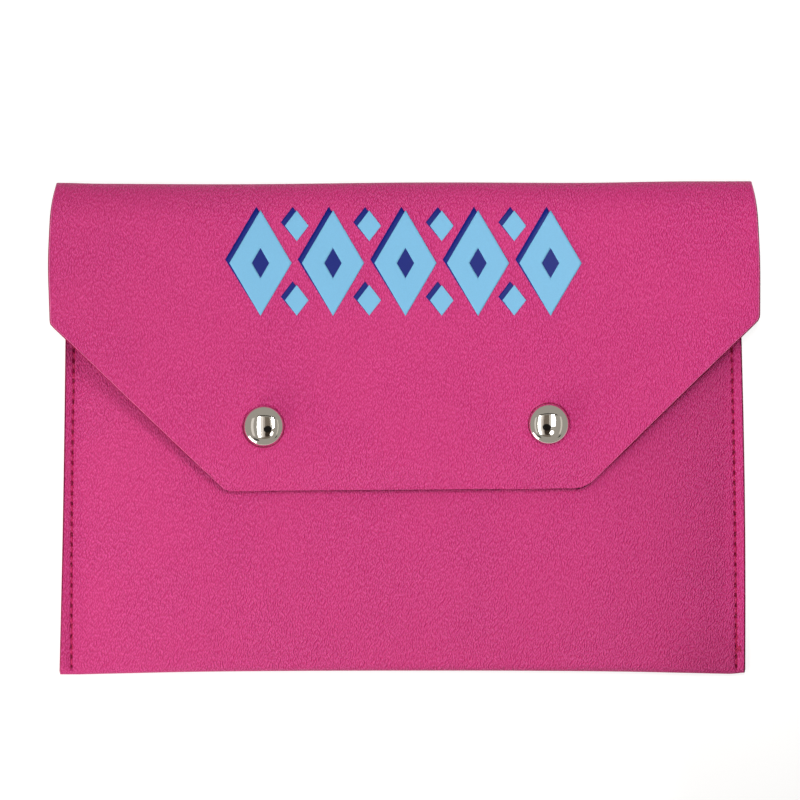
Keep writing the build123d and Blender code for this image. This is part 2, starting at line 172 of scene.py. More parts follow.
class PouchSnap(bpy.types.PropertyGroup):
    left: place("Left snap", (-43.7, 0.8), "Middle of the left snap")
    right: place("Right snap", (45.2, 1.4), "Middle of the right snap")
    radius: length("Cap radius", 6.25, "Radius of the cap")
    height: length("Cap height", 3.6, "Height of the cap")
    dome: length("Dome", 2.4, "Height of the rounded top over the cap's side")
    edge: length("Cap edge", 0.55, "Radius of the rounded edge under the cap's side")
    lip: length("Cap lip", 5.2, "The cap's edge is turned in to this radius")
    # This ring is painted shade round the foot of a cap
    ring_shade_width: length("Pressed ring", 0.3, "Half width of the dark ring that a cap presses in")
    dent: length("Dent", 0.2, "Depth of the dent in the flap round the foot of a cap")
    metal: length("Metal", 0.35, "Wall of the pressed cap")
    nickel: colour("Nickel", "#DEDAD2", "Polished nickel plate")
    tumbled: colour("Tumbled nickel", "#BDB8AC", "Nickel plate of the inner parts")
    steel: colour("Spring steel", "#9A9CA0", "Drawn wire of the ring spring")


class PouchFilm(bpy.types.PropertyGroup):
    thickness: length("Film", 0.06, "Thickness of one layer of transfer film")
    centre: place("Middle", (0.5, 51.6), "Middle of the row of lozenges")
    shift: place("Shade shift", (-1.3, 1.1), "The dark shade stands up and to the left")
    pitch: length("Pitch", 22.6, "From one large lozenge to the next")
    large: place("Large lozenge", (19.4, 33.0), "Width and height of a large lozenge")
    window: place("Window", (5.4, 9.4), "Width and height of its window")
    small: place("Small lozenge", (7.4, 9.6), "Width and height of a small lozenge")
    small_offset: length("Small offset", 11.6, "Of the small lozenges from the middle")
    count: IntProperty(name="Lozenges", description="Large lozenges in the row", default=5)
    light: colour("Face", "#77B5D9", "Light blue transfer film")
    dark: colour("Shade", "#041A72", "Dark blue transfer film")


class PouchStage(bpy.types.PropertyGroup):
    centre: place("Camera", (-1.23, 8.92), "Point under the camera")
    distance: length("Distance", 6000.0, "Height of the camera over the table")
    field: length("Field", 249.6, "Width that the picture shows")
    tent: length("Tent", 500.0, "Half width and height of the light tent")
    tent_left: share("Left wall", 1.05, "Radiance of the tent's left wall")
    tent_right: share("Right wall", 0.02, "Radiance of its right wall")
    tent_near: share("Near wall", 0.85, "Radiance of the left half wall at the picture's foot")
    tent_far: share("Far wall", 0.62, "Radiance of its far wall")
    tent_top: share("Top", 0.02, "Radiance of its top, and of the world beyond it")
    ceiling: share("Ceiling", 0.42, "Radiance of the room that only shiny things mirror")
    strips: length("Strip height", 360.0, "Height of the two strip lamps")
    left_strip: share("Left strip", 10.4, "Radiance of the left strip lamp")
    right_strip: share("Right strip", 33.5, "Radiance of the right strip lamp")
    low_lamp: share("Low lamp", 6.7, "Radiance of the low lamp at the near left corner")
    table: colour("Table", "#989693", "Laminate of the table, under its glow")
    table_glow: share("Table glow", 0.8, "Light in the table that makes it white to the camera")


GROUPS = {
    "pouch_cloth": PouchCloth, "pouch_pocket": PouchPocket, "pouch_seam": PouchSeam,
    "pouch_flap": PouchFlap, "pouch_snap": PouchSnap, "pouch_film": PouchFilm,
    "pouch_stage": PouchStage,
}


def settings(context):
    """All the groups' values, with the lengths in millimetres."""
    found = SimpleNamespace()
    for key in GROUPS:
        group = getattr(context.scene, key)
        values = {}
        for prop in group.bl_rna.properties:
            if prop.identifier in ("rna_type", "name"):
                continue
            value = getattr(group, prop.identifier)
            if getattr(prop, "unit", "NONE") == "LENGTH":
                value = np.array(value) / MM if getattr(prop, "is_array", False) else value / MM
            values[prop.identifier] = value
        setattr(found, key.split("_")[1], SimpleNamespace(**values))
    return found


# Small sums

def smooth(value, low, high):
    """0 below low, 1 above high, and an S between them."""
    t = np.clip((value - low) / (high - low), 0, 1)
    return t * t * (3 - 2 * t)


def bell(value, width):
    """1 at nought, falling off smoothly over a width."""
    return np.exp(-(value / width) ** 2)


def waves(x, y, wavelength, seed, count=9):
    """Smooth random waves about nought, about 1 high, the same on every run."""
    draw = np.random.RandomState(seed)
    shortest, longest = 0.7, 1.6
    total = np.zeros(np.broadcast(x, y).shape)
    for _ in range(count):
        angle = draw.uniform(0, math.tau)
        size = wavelength * draw.uniform(shortest, longest)
        phase = draw.uniform(0, math.tau)
        total += np.sin((x * math.cos(angle) + y * math.sin(angle)) * math.tau / size + phase)
    return total / math.sqrt(count)


def soft_sway(x, y, long_wave, short_wave):
    """Random waves of soft cloth, each given as (length, seed), mostly of the long one."""
    long_share, short_share = 0.8, 0.2
    return waves(x, y, *long_wave) * long_share + waves(x, y, *short_wave) * short_share


def steps(*runs):
    """Numbers along several runs, each (start, end, count), without repeats."""
    parts = [np.linspace(start, end, count, endpoint=False) for start, end, count in runs]
    return np.concatenate(parts + [[runs[-1][1]]])


def rounded(points, radii, segments=14):
    """A line through points with its corners rounded, where a radius is given."""
    nearly_straight = math.pi / 2 - 1e-3
    points = [np.array(p, float) for p in points]
    line = [points[0]]
    for before, corner, after, radius in zip(points, points[1:], points[2:], radii):
        one, two = before - corner, after - corner
        one, two = one / np.linalg.norm(one), two / np.linalg.norm(two)
        half = math.acos(np.clip(one @ two, -1, 1)) / 2
        if radius == 0 or half > nearly_straight:
            line.append(corner)
            continue
        middle = corner + (one + two) / np.linalg.norm(one + two) * radius / math.sin(half)
        start = corner + one * radius / math.tan(half) - middle
        end = corner + two * radius / math.tan(half) - middle
        turn = math.atan2(start[0] * end[1] - start[1] * end[0], start @ end)
        for t in np.linspace(0, turn, segments):
            spin = np.array([[math.cos(t), -math.sin(t)], [math.sin(t), math.cos(t)]])
            line.append(middle + spin @ start)
    line.append(points[-1])
    return np.array(line)


def facing(points):
    """Unit normals of a grid of points, from its rows and columns."""
    least = 1e-12
    normal = np.cross(np.gradient(points, axis=0), np.gradient(points, axis=1))
    return normal / np.maximum(np.linalg.norm(normal, axis=2, keepdims=True), least)


def sheet_run(grid):
    """Distance along the sheet of each row of a grid, from its first row."""
    steps_along = np.diff(grid[:, grid.shape[1] // 2], axis=0)
    return np.concatenate([[0], np.cumsum(np.linalg.norm(steps_along, axis=1))])


def on_flat_sheet(x, run):
    """Places of a grid's points on the flat sheet, from its x and the run of its rows."""
    return np.stack([x, np.broadcast_to(run[:, None], x.shape)], 2)


# Meshes

def mesh_object(name, points, faces, materials, face_material=None, normals=None, flat=None):
    """A smooth mesh object from points in millimetres, resting at the origin."""
    mesh = bpy.data.meshes.new(name)
    mesh.from_pydata((np.asarray(points) * MM).tolist(), [], [list(f) for f in faces])
    for material in materials:
        mesh.materials.append(material)
    if face_material is not None:
        mesh.polygons.foreach_set("material_index", np.asarray(face_material, np.int32))
    if flat is not None:
        corners = np.zeros(len(mesh.loops), np.int32)
        mesh.loops.foreach_get("vertex_index", corners)
        layer = mesh.uv_layers.new(name="flat_cloth")
        layer.data.foreach_set("uv", (np.asarray(flat)[corners] * MM).ravel())
    mesh.polygons.foreach_set("use_smooth", np.ones(len(mesh.polygons), bool))
    mesh.validate()
    if normals is not None:
        mesh.normals_split_custom_set_from_vertices(np.asarray(normals).tolist())
    made = bpy.data.objects.new(name, mesh)
    bpy.context.scene.collection.objects.link(made)
    return made


def add_value(made, name, values):
    """A number at each vertex that a material can read."""
    attribute = made.data.attributes.new(name, "FLOAT", "POINT")
    attribute.data.foreach_set("value", np.asarray(values, np.float32))


# Section of a cut edge, from the coat down to the backing. Each row: out, down, normal out,
# normal up, as shares of the cut's slant and of the cloth's thickness
CUT_SECTION = (
    (0.28, 0.02, 0.55, 0.83),
    (0.48, 0.09, 0.97, 0.25),
    (0.86, 0.62, 0.97, 0.24),
    (1.00, 0.93, 0.98, -0.20),
    (0.86, 1.00, 0.40, -0.92),
)
COAT, KNIT, CUT = 0, 1, 2
CUT_MATERIALS = (COAT, CUT, CUT, CUT, KNIT, KNIT)


def mitred(one, two):
    """Outward direction at a corner between two edges, either of which may be nought."""
    middle = one + two
    if min(np.linalg.norm(one), np.linalg.norm(two)) < 0.5:
        return middle
    middle /= np.linalg.norm(middle)
    sharpest = 0.6
    return middle / max(middle @ one, sharpest)


def between_rings(upper, lower):
    """Faces that join two closed rings with the same number of points."""
    return np.stack([upper, lower, np.roll(lower, -1), np.roll(upper, -1)], 1)


def grid_rim(face, normal, joined):
    """Indices of a grid's outermost points in order, and the way out of the cloth at each.

    The way out is nought along the sides in joined, of first, last, left and right.
    """
    rows, cols = face.shape[:2]
    index = np.arange(rows * cols).reshape(rows, cols)
    sides = (("left", index[:, 0]), ("last", index[-1]), ("right", index[::-1, -1]),
             ("first", index[0, ::-1]))
    rim, out, previous = [], [], None
    for side, ids in sides:
        line = face.reshape(-1, 3)[ids]
        away = np.cross(np.gradient(line, axis=0), normal.reshape(-1, 3)[ids])
        away /= np.linalg.norm(away, axis=1, keepdims=True)
        if side in joined:
            away[:] = 0
        if previous is not None:
            away[0] = mitred(previous, away[0])
        previous = away[-1].copy()
        rim.append(ids[:-1])
        out.append(away[:-1])
    out[0][0] = mitred(previous, out[0][0])
    return np.concatenate(rim), np.concatenate(out)


def cloth_shell(name, face, normal, back, flat, s, joined=(), pit_shade=None):
    """A closed piece of coated cloth from a grid of its coated face and one of its backing.

    joined names the sides, of first, last, left and right, where it runs on in another piece.
    """
    rim, out = grid_rim(face, normal, joined)
    is_cut = np.linalg.norm(out, axis=1) > 0.5
    index = np.arange(face[..., X].size).reshape(face.shape[:2])
    face, back = face.reshape(-1, 3).copy(), back.reshape(-1, 3).copy()
    up, flat = normal.reshape(-1, 3), flat.reshape(-1, 2)
    rim_face, down = face[rim], back[rim] - face[rim]
    slant = s.cloth.cut_slant
    face[rim] -= out * slant
    back[rim] -= out * slant
    points, normals, uv, rings = [face, back], [up, -up], [flat, flat], [rim]
    start = 2 * index.size
    for across, below, turn_out, turn_up in CUT_SECTION:
        points.append(rim_face + down * below + out * slant * (across - 1))
        bent = out * turn_out + up[rim] * turn_up
        bent[~is_cut] = up[rim][~is_cut] * (-1 if below > 0.5 else 1)
        normals.append(bent / np.linalg.norm(bent, axis=1, keepdims=True))
        uv.append(flat[rim])
        rings.append(np.arange(start, start + len(rim)))
        start += len(rim)
    rings.append(rim + index.size)

    a, b = index[:-1, :-1].ravel(), index[1:, :-1].ravel()
    c, d = index[1:, 1:].ravel(), index[:-1, 1:].ravel()
    faces = [np.stack([a, b, c, d], 1), np.stack([d, c, b, a], 1) + index.size]
    kinds = [np.full(len(a), COAT), np.full(len(a), KNIT)]
    for upper, lower, kind in zip(rings, rings[1:], CUT_MATERIALS):
        faces.append(between_rings(upper, lower))
        kinds.append(np.full(len(upper), kind))
    made = mesh_object(name, np.concatenate(points), np.concatenate(faces), cloth_materials(s),
                       np.concatenate(kinds), np.concatenate(normals), np.concatenate(uv))
    depth, wear = np.zeros(start), np.zeros(start)
    # depth holds the mask of the needle holes' painted shade, which the coat reads
    if pit_shade is not None:
        depth[:index.size] = pit_shade.ravel()
    # The coat's rim at each cut edge is marked for a pale line, partly rubbed wear and partly painted
    # highlight
    for ring in rings[:2]:
        wear[ring] = is_cut
    add_value(made, "needle_pit_shade", depth)
    add_value(made, "edge_wear_and_highlight", wear)
    return made


# The sheet's shapes

def seam_at(y, seam, right):
    """Distance of the right or the left seam from the middle line, at a height y."""
    (top_x, top_y), (low_x, low_y) = seam.top, seam.bottom
    reach = (y - low_y) / (top_y - low_y)
    # The bow ends about three quarters of the way up
    bow_rate = 1.35
    bowed = seam.bow * np.sin(np.clip(reach * bow_rate, 0, 1) * math.pi)
    return low_x + (top_x - seam.right_in * right - low_x) * reach + bowed


def stitch_pitch(seam):
    """Distance from one needle hole to the next."""
    return (seam.top[Y] - seam.bottom[Y]) / seam.count


def seam_dip(x, y, seam):
    """Dip of the coated face along a seam, the lift of both layers beyond it, and the needle holes
    that get painted shade.
    """
    hole_half, hole_long = 0.34, 0.72
    valley_half, groove_half = 1.5, 0.45
    shallow, shallow_long = 0.25, 0.9
    lip_off, lip_half = 0.68, 0.24
    start, end, spring_reach = 0.6, 0.1, 3.4
    across = np.abs(x) - seam_at(y, seam, x > 0)
    along = (y - seam.bottom[Y]) / stitch_pitch(seam)
    to_hole = (along - np.round(np.clip(along, 0, seam.count))) * stitch_pitch(seam)
    sewn = smooth(along, -start, end)
    sewn = sewn * (1 - smooth(along, seam.count - end, seam.count + start))
    pit = np.exp(-(across / hole_half) ** 4) * np.exp(-(to_hole / hole_long) ** 4)
    held = 1 - shallow * bell(to_hole, shallow_long)
    # The presser foot leaves its lip on the right of both seams
    dip = sewn * (seam.valley * bell(across, valley_half)
                  + seam.groove * bell(across, groove_half) * held + seam.pit * pit
                  - seam.lip * bell(across - np.sign(x) * lip_off, lip_half))
    lift = sewn * seam.lift * smooth(across, 0, spring_reach)
    return dip, lift, pit * sewn


def seam_rows(seam, start, end, per_stitch=8):
    """Rows of a sewn piece that keep step with the stitches between two heights."""
    step = stitch_pitch(seam) / per_stitch
    low, high = (math.ceil((v - seam.bottom[Y]) / step - 0.5) for v in sorted((start, end)))
    rows = seam.bottom[Y] + step * np.arange(low, high + 1)
    rows = rows[(rows > min(start, end) + step / 2) & (rows < max(start, end) - step / 2)]
    rows = np.concatenate([[min(start, end)], rows, [max(start, end)]])
    return rows if start < end else rows[::-1]


def sewn_columns(y, edges, s, middle_count=56):
    """Columns across a sewn piece at the heights y that crowd along its two seams."""
    # Distances inside a seam, and shares of the way from it to the cut edge
    near = np.array([0.18, 0.36, 0.52, 0.68, 0.84, 1.1, 1.5, 2.0, 2.7, 3.6, 4.8, 6.4])
    beyond = np.array([0.06, 0.12, 0.18, 0.24, 0.3, 0.4, 0.56, 0.76, 0.9, 1.0])
    halves = []
    for right, edge in zip((False, True), edges):
        line, edge = seam_at(y, s.seam, right)[:, None], edge[:, None]
        halves.append(np.concatenate(
            [line - near[::-1], line, line + (edge - line) * beyond], axis=1))
    inner = halves[0][:, :1], halves[1][:, :1]
    share_in = np.linspace(0, 1, middle_count)[1:-1]
    middle = -inner[0] + (inner[0] + inner[1]) * share_in
    return np.concatenate([-halves[0][:, ::-1], middle, halves[1]], axis=1)


def pocket_edge(y, s):
    """Half widths of the pocket's left and right cut edges at the heights y."""
    p = s.pocket
    reach = np.clip((p.taper_top - y) / (p.taper_top + p.half_height), 0, 1)
    return [mouth + (foot - mouth) * reach + bow * np.sin(reach * math.pi)
            for mouth, foot, bow in zip(p.mouth_halves, p.foot_halves, p.bows)]


def puff(x, p):
    """Share of the full puff, from 1 in the middle down to 0 at the seams, with a soft foot."""
    reach = np.clip((np.abs(x) - p.flat_half) / (p.puff_half - p.flat_half), 0, 1)
    full = 1 - reach ** p.puff_power
    foot = 0.03
    return (1 + foot) * full ** 2 / (full + foot)


def front_surface(s):
    """Grid of the front and bottom fold, from the mouth round to the underside."""
    p, seam, thick = s.pocket, s.seam, s.cloth.thickness
    corner_rise, corner_width, draw_power = 0.35, 5, 2.5
    seam_face = 2 * thick + seam.gap
    front_face = p.depth + 2 * thick
    seam_outer = thick + seam.gap / 2
    end_y = -p.half_height + seam_outer

    down = seam_rows(seam, p.mouth, end_y)
    x = sewn_columns(down, pocket_edge(down, s), s)
    rise = puff(x, p)
    outer = seam_outer + (p.fold_inner - seam.gap / 2) * rise
    drawn = p.draw_in * np.sqrt(rise) * (1 - np.abs(x / p.foot_halves[0]) ** draw_power)
    corner = corner_rise * smooth(x, p.foot_halves[1] - corner_width, p.foot_halves[1])
    centre = -p.half_height + drawn + p.skew * x + corner + outer
    slope = np.radians(p.fold_slope) * rise
    leave_y, leave_z = centre - outer * np.sin(slope), outer * (1 + np.cos(slope))
    # A cubic that leaves the flat front level and meets the bottom fold at its slope
    top = seam_face + (front_face - seam_face) * rise
    t = np.clip((p.flat_bottom - down) / (p.flat_bottom - end_y), 0, 1)[:, None]
    fall = p.flat_bottom - leave_y
    y = np.where(t > 0, p.flat_bottom - t * fall, down[:, None])
    z = ((2 * t ** 3 - 3 * t ** 2 + 1) * top + (3 * t ** 2 - 2 * t ** 3) * leave_z
         - (t ** 3 - t ** 2) * np.tan(slope) * fall)
    front = np.stack([x, y, z], 2)

    low_x, low_outer, low_centre, low_slope = (grid[-1] for grid in (x, outer, centre, slope))
    turn = np.linspace(0, 1, 15)[1:, None]
    angle = (math.pi - low_slope) * (1 - turn)
    round_over = np.stack([np.broadcast_to(low_x, angle.shape),
                           low_centre - low_outer * np.sin(angle),
                           low_outer * (1 - np.cos(angle))], 2)

    under_y = seam_rows(seam, end_y, p.split)[1:]
    reach = ((under_y - end_y) / (p.split - end_y))[:, None]
    x = sewn_columns(under_y, pocket_edge(under_y, s), s)
    under = np.stack([x, low_centre + reach * (p.split - low_centre), np.zeros_like(x)], 2)
    return np.concatenate([front, round_over, under])


def back_surface(s):
    """Grid of the back, from the underside up into the lower half of the top fold."""
    p, flap = s.pocket, s.flap
    radius = flap.top / 2
    centre = p.half_height - radius
    past_seam, next_row, flare_margin = 1.0, 1.8, 4
    rows = np.concatenate([seam_rows(s.seam, p.split, s.seam.top[Y] + past_seam),
                           steps((s.seam.top[Y] + next_row, centre, 11))])
    flare = smooth(rows, p.mouth - flare_margin, centre + flare_margin)
    edges = [edge + (flap.half_back - mouth) * flare
             for edge, mouth in zip(pocket_edge(rows, s), p.mouth_halves)]
    x = sewn_columns(rows, edges, s)
    plain = np.stack([x, np.broadcast_to(rows[:, None], x.shape), np.zeros_like(x)], 2)
    angle = np.linspace(0, math.pi / 2, 21)[1:, None]
    wider = 1 + (flap.half_top / flap.half_back - 1) * np.sin(angle)
    fold = np.stack([x[-1] * wider,
                     centre + radius * np.sin(angle) + top_wave(x[-1] * wider) * np.sin(angle) ** 2,
                     radius * (1 - np.cos(angle)) * np.ones_like(x[-1])], 2)
    return np.concatenate([plain, fold])


def top_wave(x):
    """How far the soft top fold strays from a straight line along its length."""
    tilt, drop = 0.0037, 0.07
    wave, wave_at, wave_long = 0.17, 6, 112
    swell, swell_at, swell_half = 0.25, 82, 18
    corner, corner_start, corner_end = 0.3, 94, 108
    long_wave = tilt * x + wave * np.cos((x - wave_at) * math.tau / wave_long) - drop
    return (long_wave + swell * bell(x - swell_at, swell_half)
            + corner * smooth(-x, corner_start, corner_end))


def snap_places(s):
    """The two snaps' names and places in plan."""
    return (("left", s.snap.left), ("right", s.snap.right))


def flap_height(x, y, s):
    """Height of the flap's coated face over the table."""
    flap, snap = s.flap, s.snap
    wing_start, wing_end, wing_power = 58, 118, 1.5
    level_start, level_end = 42, 75
    swell, swell_out, swell_half, swell_start, swell_full = 0.16, 2.6, 2.0, 6.6, 8.4
    dent_out, dent_half = 0.1, 0.45
    calm_round_snap, calm_fold_end = 12, 50
    below = np.maximum(flap.droop_start - y, 0)
    height = flap.top - flap.droop_radius + np.sqrt(flap.droop_radius ** 2 - below ** 2)
    wing = smooth(np.abs(x), wing_start, wing_end) ** wing_power
    # The wings curl less towards the top fold, and not at all where they join the back
    height = height + flap.curl * wing * (1 - smooth(y, level_start, level_end))
    free = np.ones(np.broadcast(x, y).shape)
    ring = np.zeros_like(free)
    for _, at in snap_places(s):
        away = np.hypot(x - at[X], y - at[Y])
        free = free * smooth(away, snap.radius, snap.radius + calm_round_snap)
        ring = ring + (swell * bell(away - snap.radius - swell_out, swell_half)
                       * smooth(away, swell_start, swell_full))
        ring = ring - snap.dent * bell(away - snap.radius - dent_out, dent_half)
    sway = soft_sway(x, y, (75, 4), (26, 11))
    off_fold = smooth(-y, -(s.pocket.half_height - flap.fold_reach), -calm_fold_end)
    return height + ring + flap.sway * sway * free * off_fold


def flap_surface(s):
    """Grid of the flap, from the top edge of the closed pouch to its bottom edge."""
    flap, top_y = s.flap, s.pocket.half_height
    radius = flap.top / 2
    fold_rounding, side_rounding, skew_end = 60, 160, 40
    middle = (flap.right_tip + flap.left_tip) / 2
    tilt = (flap.right_tip[Y] - flap.left_tip[Y]) / (flap.right_tip[X] - flap.left_tip[X])

    def level(x, y):
        """Lift that makes the slightly skew bottom edge run level."""
        return tilt * (x - middle[X]) * (1 - smooth(y, middle[Y], skew_end))

    # Each row: side, shoulder, tip, the other tip, and the rounding of shoulder and tip
    sides = ((-1, flap.left_shoulder, flap.left_tip, flap.right_tip, flap.left_round,
              flap.left_tip_round),
             (1, flap.right_shoulder, flap.right_tip, flap.left_tip, flap.right_round,
              flap.right_tip_round))
    edges = []
    for side, shoulder, tip, other_tip, shoulder_round, tip_round in sides:
        edge = rounded([(side * flap.half_top, top_y), (side * flap.half_shoulder, top_y - radius),
                        (side * flap.half, flap.flare_end), shoulder, tip, other_tip],
                       [fold_rounding, side_rounding, shoulder_round, tip_round])[:-1]
        even = edge[:, Y] - level(edge[:, X], edge[:, Y])
        order = np.argsort(even)
        edges.append((even[order], edge[order, X]))

    flat_top = top_y - flap.fold_reach
    turn = np.linspace(0, math.pi / 2, 25)[:-1]
    fold_y = flat_top + flap.fold_reach * np.cos(turn)
    fold_z = radius + radius * np.sin(turn)
    # Down the flap the rows are close over the snaps, and closest at the bottom edge
    above_snaps, below_snaps, edge_start = 11, -8, middle[Y] + 1.2
    flat_y = steps((flat_top, above_snaps, 50), (above_snaps, below_snaps, 46),
                   (below_snaps, edge_start, 14), (edge_start, middle[Y], 4))
    rows = np.concatenate([fold_y, flat_y])
    ends = [np.interp(rows, *edge)[:, None] for edge in edges]
    # Across the flap the steps are small along its edges and round the snaps
    u = steps((0, 0.0045, 1), (0.0045, 0.03, 7), (0.03, 0.15, 18), (0.15, 0.28, 50), (0.28, 0.72, 60),
              (0.72, 0.85, 50), (0.85, 0.97, 18), (0.97, 0.9955, 7), (0.9955, 1, 1))
    x = ends[0] + (ends[1] - ends[0]) * u
    y = np.broadcast_to(rows[:, None], x.shape)
    y = y + level(x, y) + top_wave(x) * smooth(y, top_y - flap.fold_reach, top_y)
    base = np.concatenate([fold_z, np.full(len(flat_y), flap.top)])[:, None]
    return np.stack([x, y, base + flap_height(x, y, s) - flap.top], 2)


def flap_run(face, s):
    """Distance along the sheet of each row of the flap's grid, on from the back's."""
    radius = s.flap.top / 2
    start = s.pocket.half_height - radius - s.pocket.split + radius * math.pi / 2
    return start + sheet_run(face)


def snaps_on_sheet(s):
    """Places of the two snaps on the flat sheet."""
    face = flap_surface(s)
    run, y = flap_run(face, s), face[:, face.shape[1] // 2, Y]
    return [np.array([at[X], np.interp(-at[Y], -y, run)]) for _, at in snap_places(s)]


# Materials

def linear(hex_value):
    """Linear colour of an sRGB hex value."""
    parts = [int(hex_value[i:i + 2], 16) / 255 for i in (1, 3, 5)]
    return [v / 12.92 if v <= 0.04045 else ((v + 0.055) / 1.055) ** 2.4 for v in parts] + [1.0]


def add(tree, kind, values=None, links=None, **choices):
    """Adds a node with its choices, its inputs' values and the sockets they are linked from."""
    # A Mix node's inputs 2 and 3 are its two numbers, and 6 and 7 its two colours
    made = tree.nodes.new(kind)
    for key, value in choices.items():
        setattr(made, key, value)
    for key, value in (values or {}).items():
        made.inputs[key].default_value = value
    for key, socket in (links or {}).items():
        tree.links.new(socket, made.inputs[key])
    return made


def new_material(name):
    """An empty node material, and its node tree."""
    material = bpy.data.materials.new(name)
    material.use_nodes = True
    material.node_tree.nodes.clear()
    return material, material.node_tree


def finished(material, shader):
    """The material, with a shader joined to its output."""
    add(material.node_tree, "ShaderNodeOutputMaterial", None, {"Surface": shader.outputs[0]})
    return material


def mottled(tree, colour, pattern, darkest, lightest):
    """Socket of a colour, a hex value or a socket, that a pattern makes darker and lighter."""
    shade = add(tree, "ShaderNodeMapRange", {"To Min": darkest, "To Max": lightest},
                {"Value": pattern})
    values, links = {}, {1: shade.outputs[0]}
    if isinstance(colour, str):
        values[0] = linear(colour)[:3]
    else:
        links[0] = colour
    return add(tree, "ShaderNodeVectorMath", values, links, operation="MULTIPLY").outputs[0]


# A Wave texture's bands lie this far apart at a Scale of 1
WAVE_SPACING = 0.31


def polyurethane_coat(s):
    """Coat of the leathercloth, over the sheet's whole face."""
    # Polyurethane, cast on grained paper. It gives the eye a satin skin of deep pink that gleams
    # a little over fine pebbles. Painted shade darkens the grain's valleys, the needle holes and a
    # ring round each cap, and a pale line along the cut edges is part wear, part painted highlight
    cloth = s.cloth
    material, tree = new_material("polyurethane_coat")
    per_grain = 1 / (cloth.grain_width * MM)
    stray, lay, patch = 0.8 * cloth.grain_width * MM, math.radians(26), 30 * MM
    uv = add(tree, "ShaderNodeUVMap", uv_map="flat_cloth").outputs[0]
    drift = add(tree, "ShaderNodeTexNoise", {"Scale": per_grain / 4, "Detail": 1.0}, {"Vector": uv})
    shift = add(tree, "ShaderNodeVectorMath", {1: (0.5, 0.5, 0.5)}, {0: drift.outputs["Color"]},
                operation="SUBTRACT")
    bent = add(tree, "ShaderNodeVectorMath", {1: (stray,) * 3},
               {0: shift.outputs[0], 2: uv}, operation="MULTIPLY_ADD")
    along = add(tree, "ShaderNodeMapping",
                {"Scale": (1, cloth.grain_stretch, 1), "Rotation": (0, 0, lay)},
                {"Vector": bent.outputs[0]})
    pebble = add(tree, "ShaderNodeTexVoronoi",
                 {"Scale": per_grain, "Smoothness": 0.35, "Randomness": 0.75},
                 {"Vector": along.outputs[0]}, feature="SMOOTH_F1", voronoi_dimensions="2D")
    crease = add(tree, "ShaderNodeTexNoise",
                 {"Scale": per_grain * 0.9, "Detail": 2.0, "Roughness": 0.5},
                 {"Vector": along.outputs[0]}, noise_dimensions="2D")
    region = add(tree, "ShaderNodeTexNoise", {"Scale": 1 / patch, "Detail": 1.0}, {"Vector": uv})
    pick = add(tree, "ShaderNodeMapRange",
               {"From Min": 0.4, "From Max": 0.6, "To Min": 0.08, "To Max": 0.28},
               {"Value": region.outputs["Fac"]})
    round_top = add(tree, "ShaderNodeMath", {0: 1.0}, {1: pebble.outputs["Distance"]},
                    operation="SUBTRACT")
    height = add(tree, "ShaderNodeMix", None,
                 {"Factor": pick.outputs[0], 2: round_top.outputs[0], 3: crease.outputs["Fac"]},
                 data_type="FLOAT")
    # Real pebbles stand 0.04 mm high; they are drawn higher, so that they show from far away
    height_gain = 4.5
    bump = add(tree, "ShaderNodeBump",
               {"Strength": 1.0, "Distance": cloth.grain_depth * MM * height_gain},
               {"Height": height.outputs[0]})
    # Painted shade: the coat is darker in the grain's valleys and lighter on the pebble tops,
    # standing in for the grain's own light and shade
    valley_shade = add(tree, "ShaderNodeMapRange", {"From Min": 0.52, "From Max": 0.98},
               {"Value": height.outputs[0]})
    grain_shaded_skin = add(tree, "ShaderNodeMix", {6: linear(cloth.coat_valley_shade), 7: linear(cloth.coat)},
               {"Factor": valley_shade.outputs[0]}, data_type="RGBA")
    # Pale line along the cut edges: partly rubbed coat, partly painted highlight of the rounded edge
    edge = add(tree, "ShaderNodeAttribute", attribute_name="edge_wear_and_highlight")
    wear = add(tree, "ShaderNodeMapRange", {"From Min": 0.55, "To Max": 0.75},
               {"Value": edge.outputs["Fac"]})
    worn_and_highlit = add(tree, "ShaderNodeMix", {7: linear(cloth.coat_worn_and_highlit)},
               {"Factor": wear.outputs[0], 6: grain_shaded_skin.outputs[2]}, data_type="RGBA")
    # Painted shade: the coat turns dark crimson in the needle holes
    pit = add(tree, "ShaderNodeAttribute", attribute_name="needle_pit_shade")
    marks = pit.outputs["Fac"]
    # Painted shade: a dark ring just outside each cap's edge stands in for the contact shadow where
    # the cap presses the cloth
    shade_ring_radius = s.snap.radius + 0.12
    for at in snaps_on_sheet(s):
        away = add(tree, "ShaderNodeVectorMath", {1: (*(at * MM), 0.0)}, {0: uv},
                   operation="DISTANCE")
        beyond = add(tree, "ShaderNodeMath", {1: shade_ring_radius * MM},
                     {0: away.outputs["Value"]}, operation="SUBTRACT")
        size = add(tree, "ShaderNodeMath", None, {0: beyond.outputs[0]}, operation="ABSOLUTE")
        ring = add(tree, "ShaderNodeMapRange",
                   {"From Max": s.snap.ring_shade_width * MM, "To Min": 1.0, "To Max": 0.0},
                   {"Value": size.outputs[0]}, interpolation_type="SMOOTHSTEP")
        marks = add(tree, "ShaderNodeMath", None, {0: marks, 1: ring.outputs[0]},
                    operation="MAXIMUM").outputs[0]
    pit_and_ring_shaded = add(tree, "ShaderNodeMix", {7: linear(cloth.coat_pit_shade)},
                 {"Factor": marks, 6: worn_and_highlit.outputs[2]}, data_type="RGBA")
    gloss = add(tree, "ShaderNodeMapRange", {"To Min": 0.44, "To Max": 0.56},
                {"Value": region.outputs["Fac"]})
    shader = add(tree, "ShaderNodeBsdfPrincipled", {"IOR": 1.45, "Specular IOR Level": 0.5},
                 {"Base Color": pit_and_ring_shaded.outputs[2], "Roughness": gloss.outputs[0],
                  "Normal": bump.outputs[0]})
    return finished(material, shader)


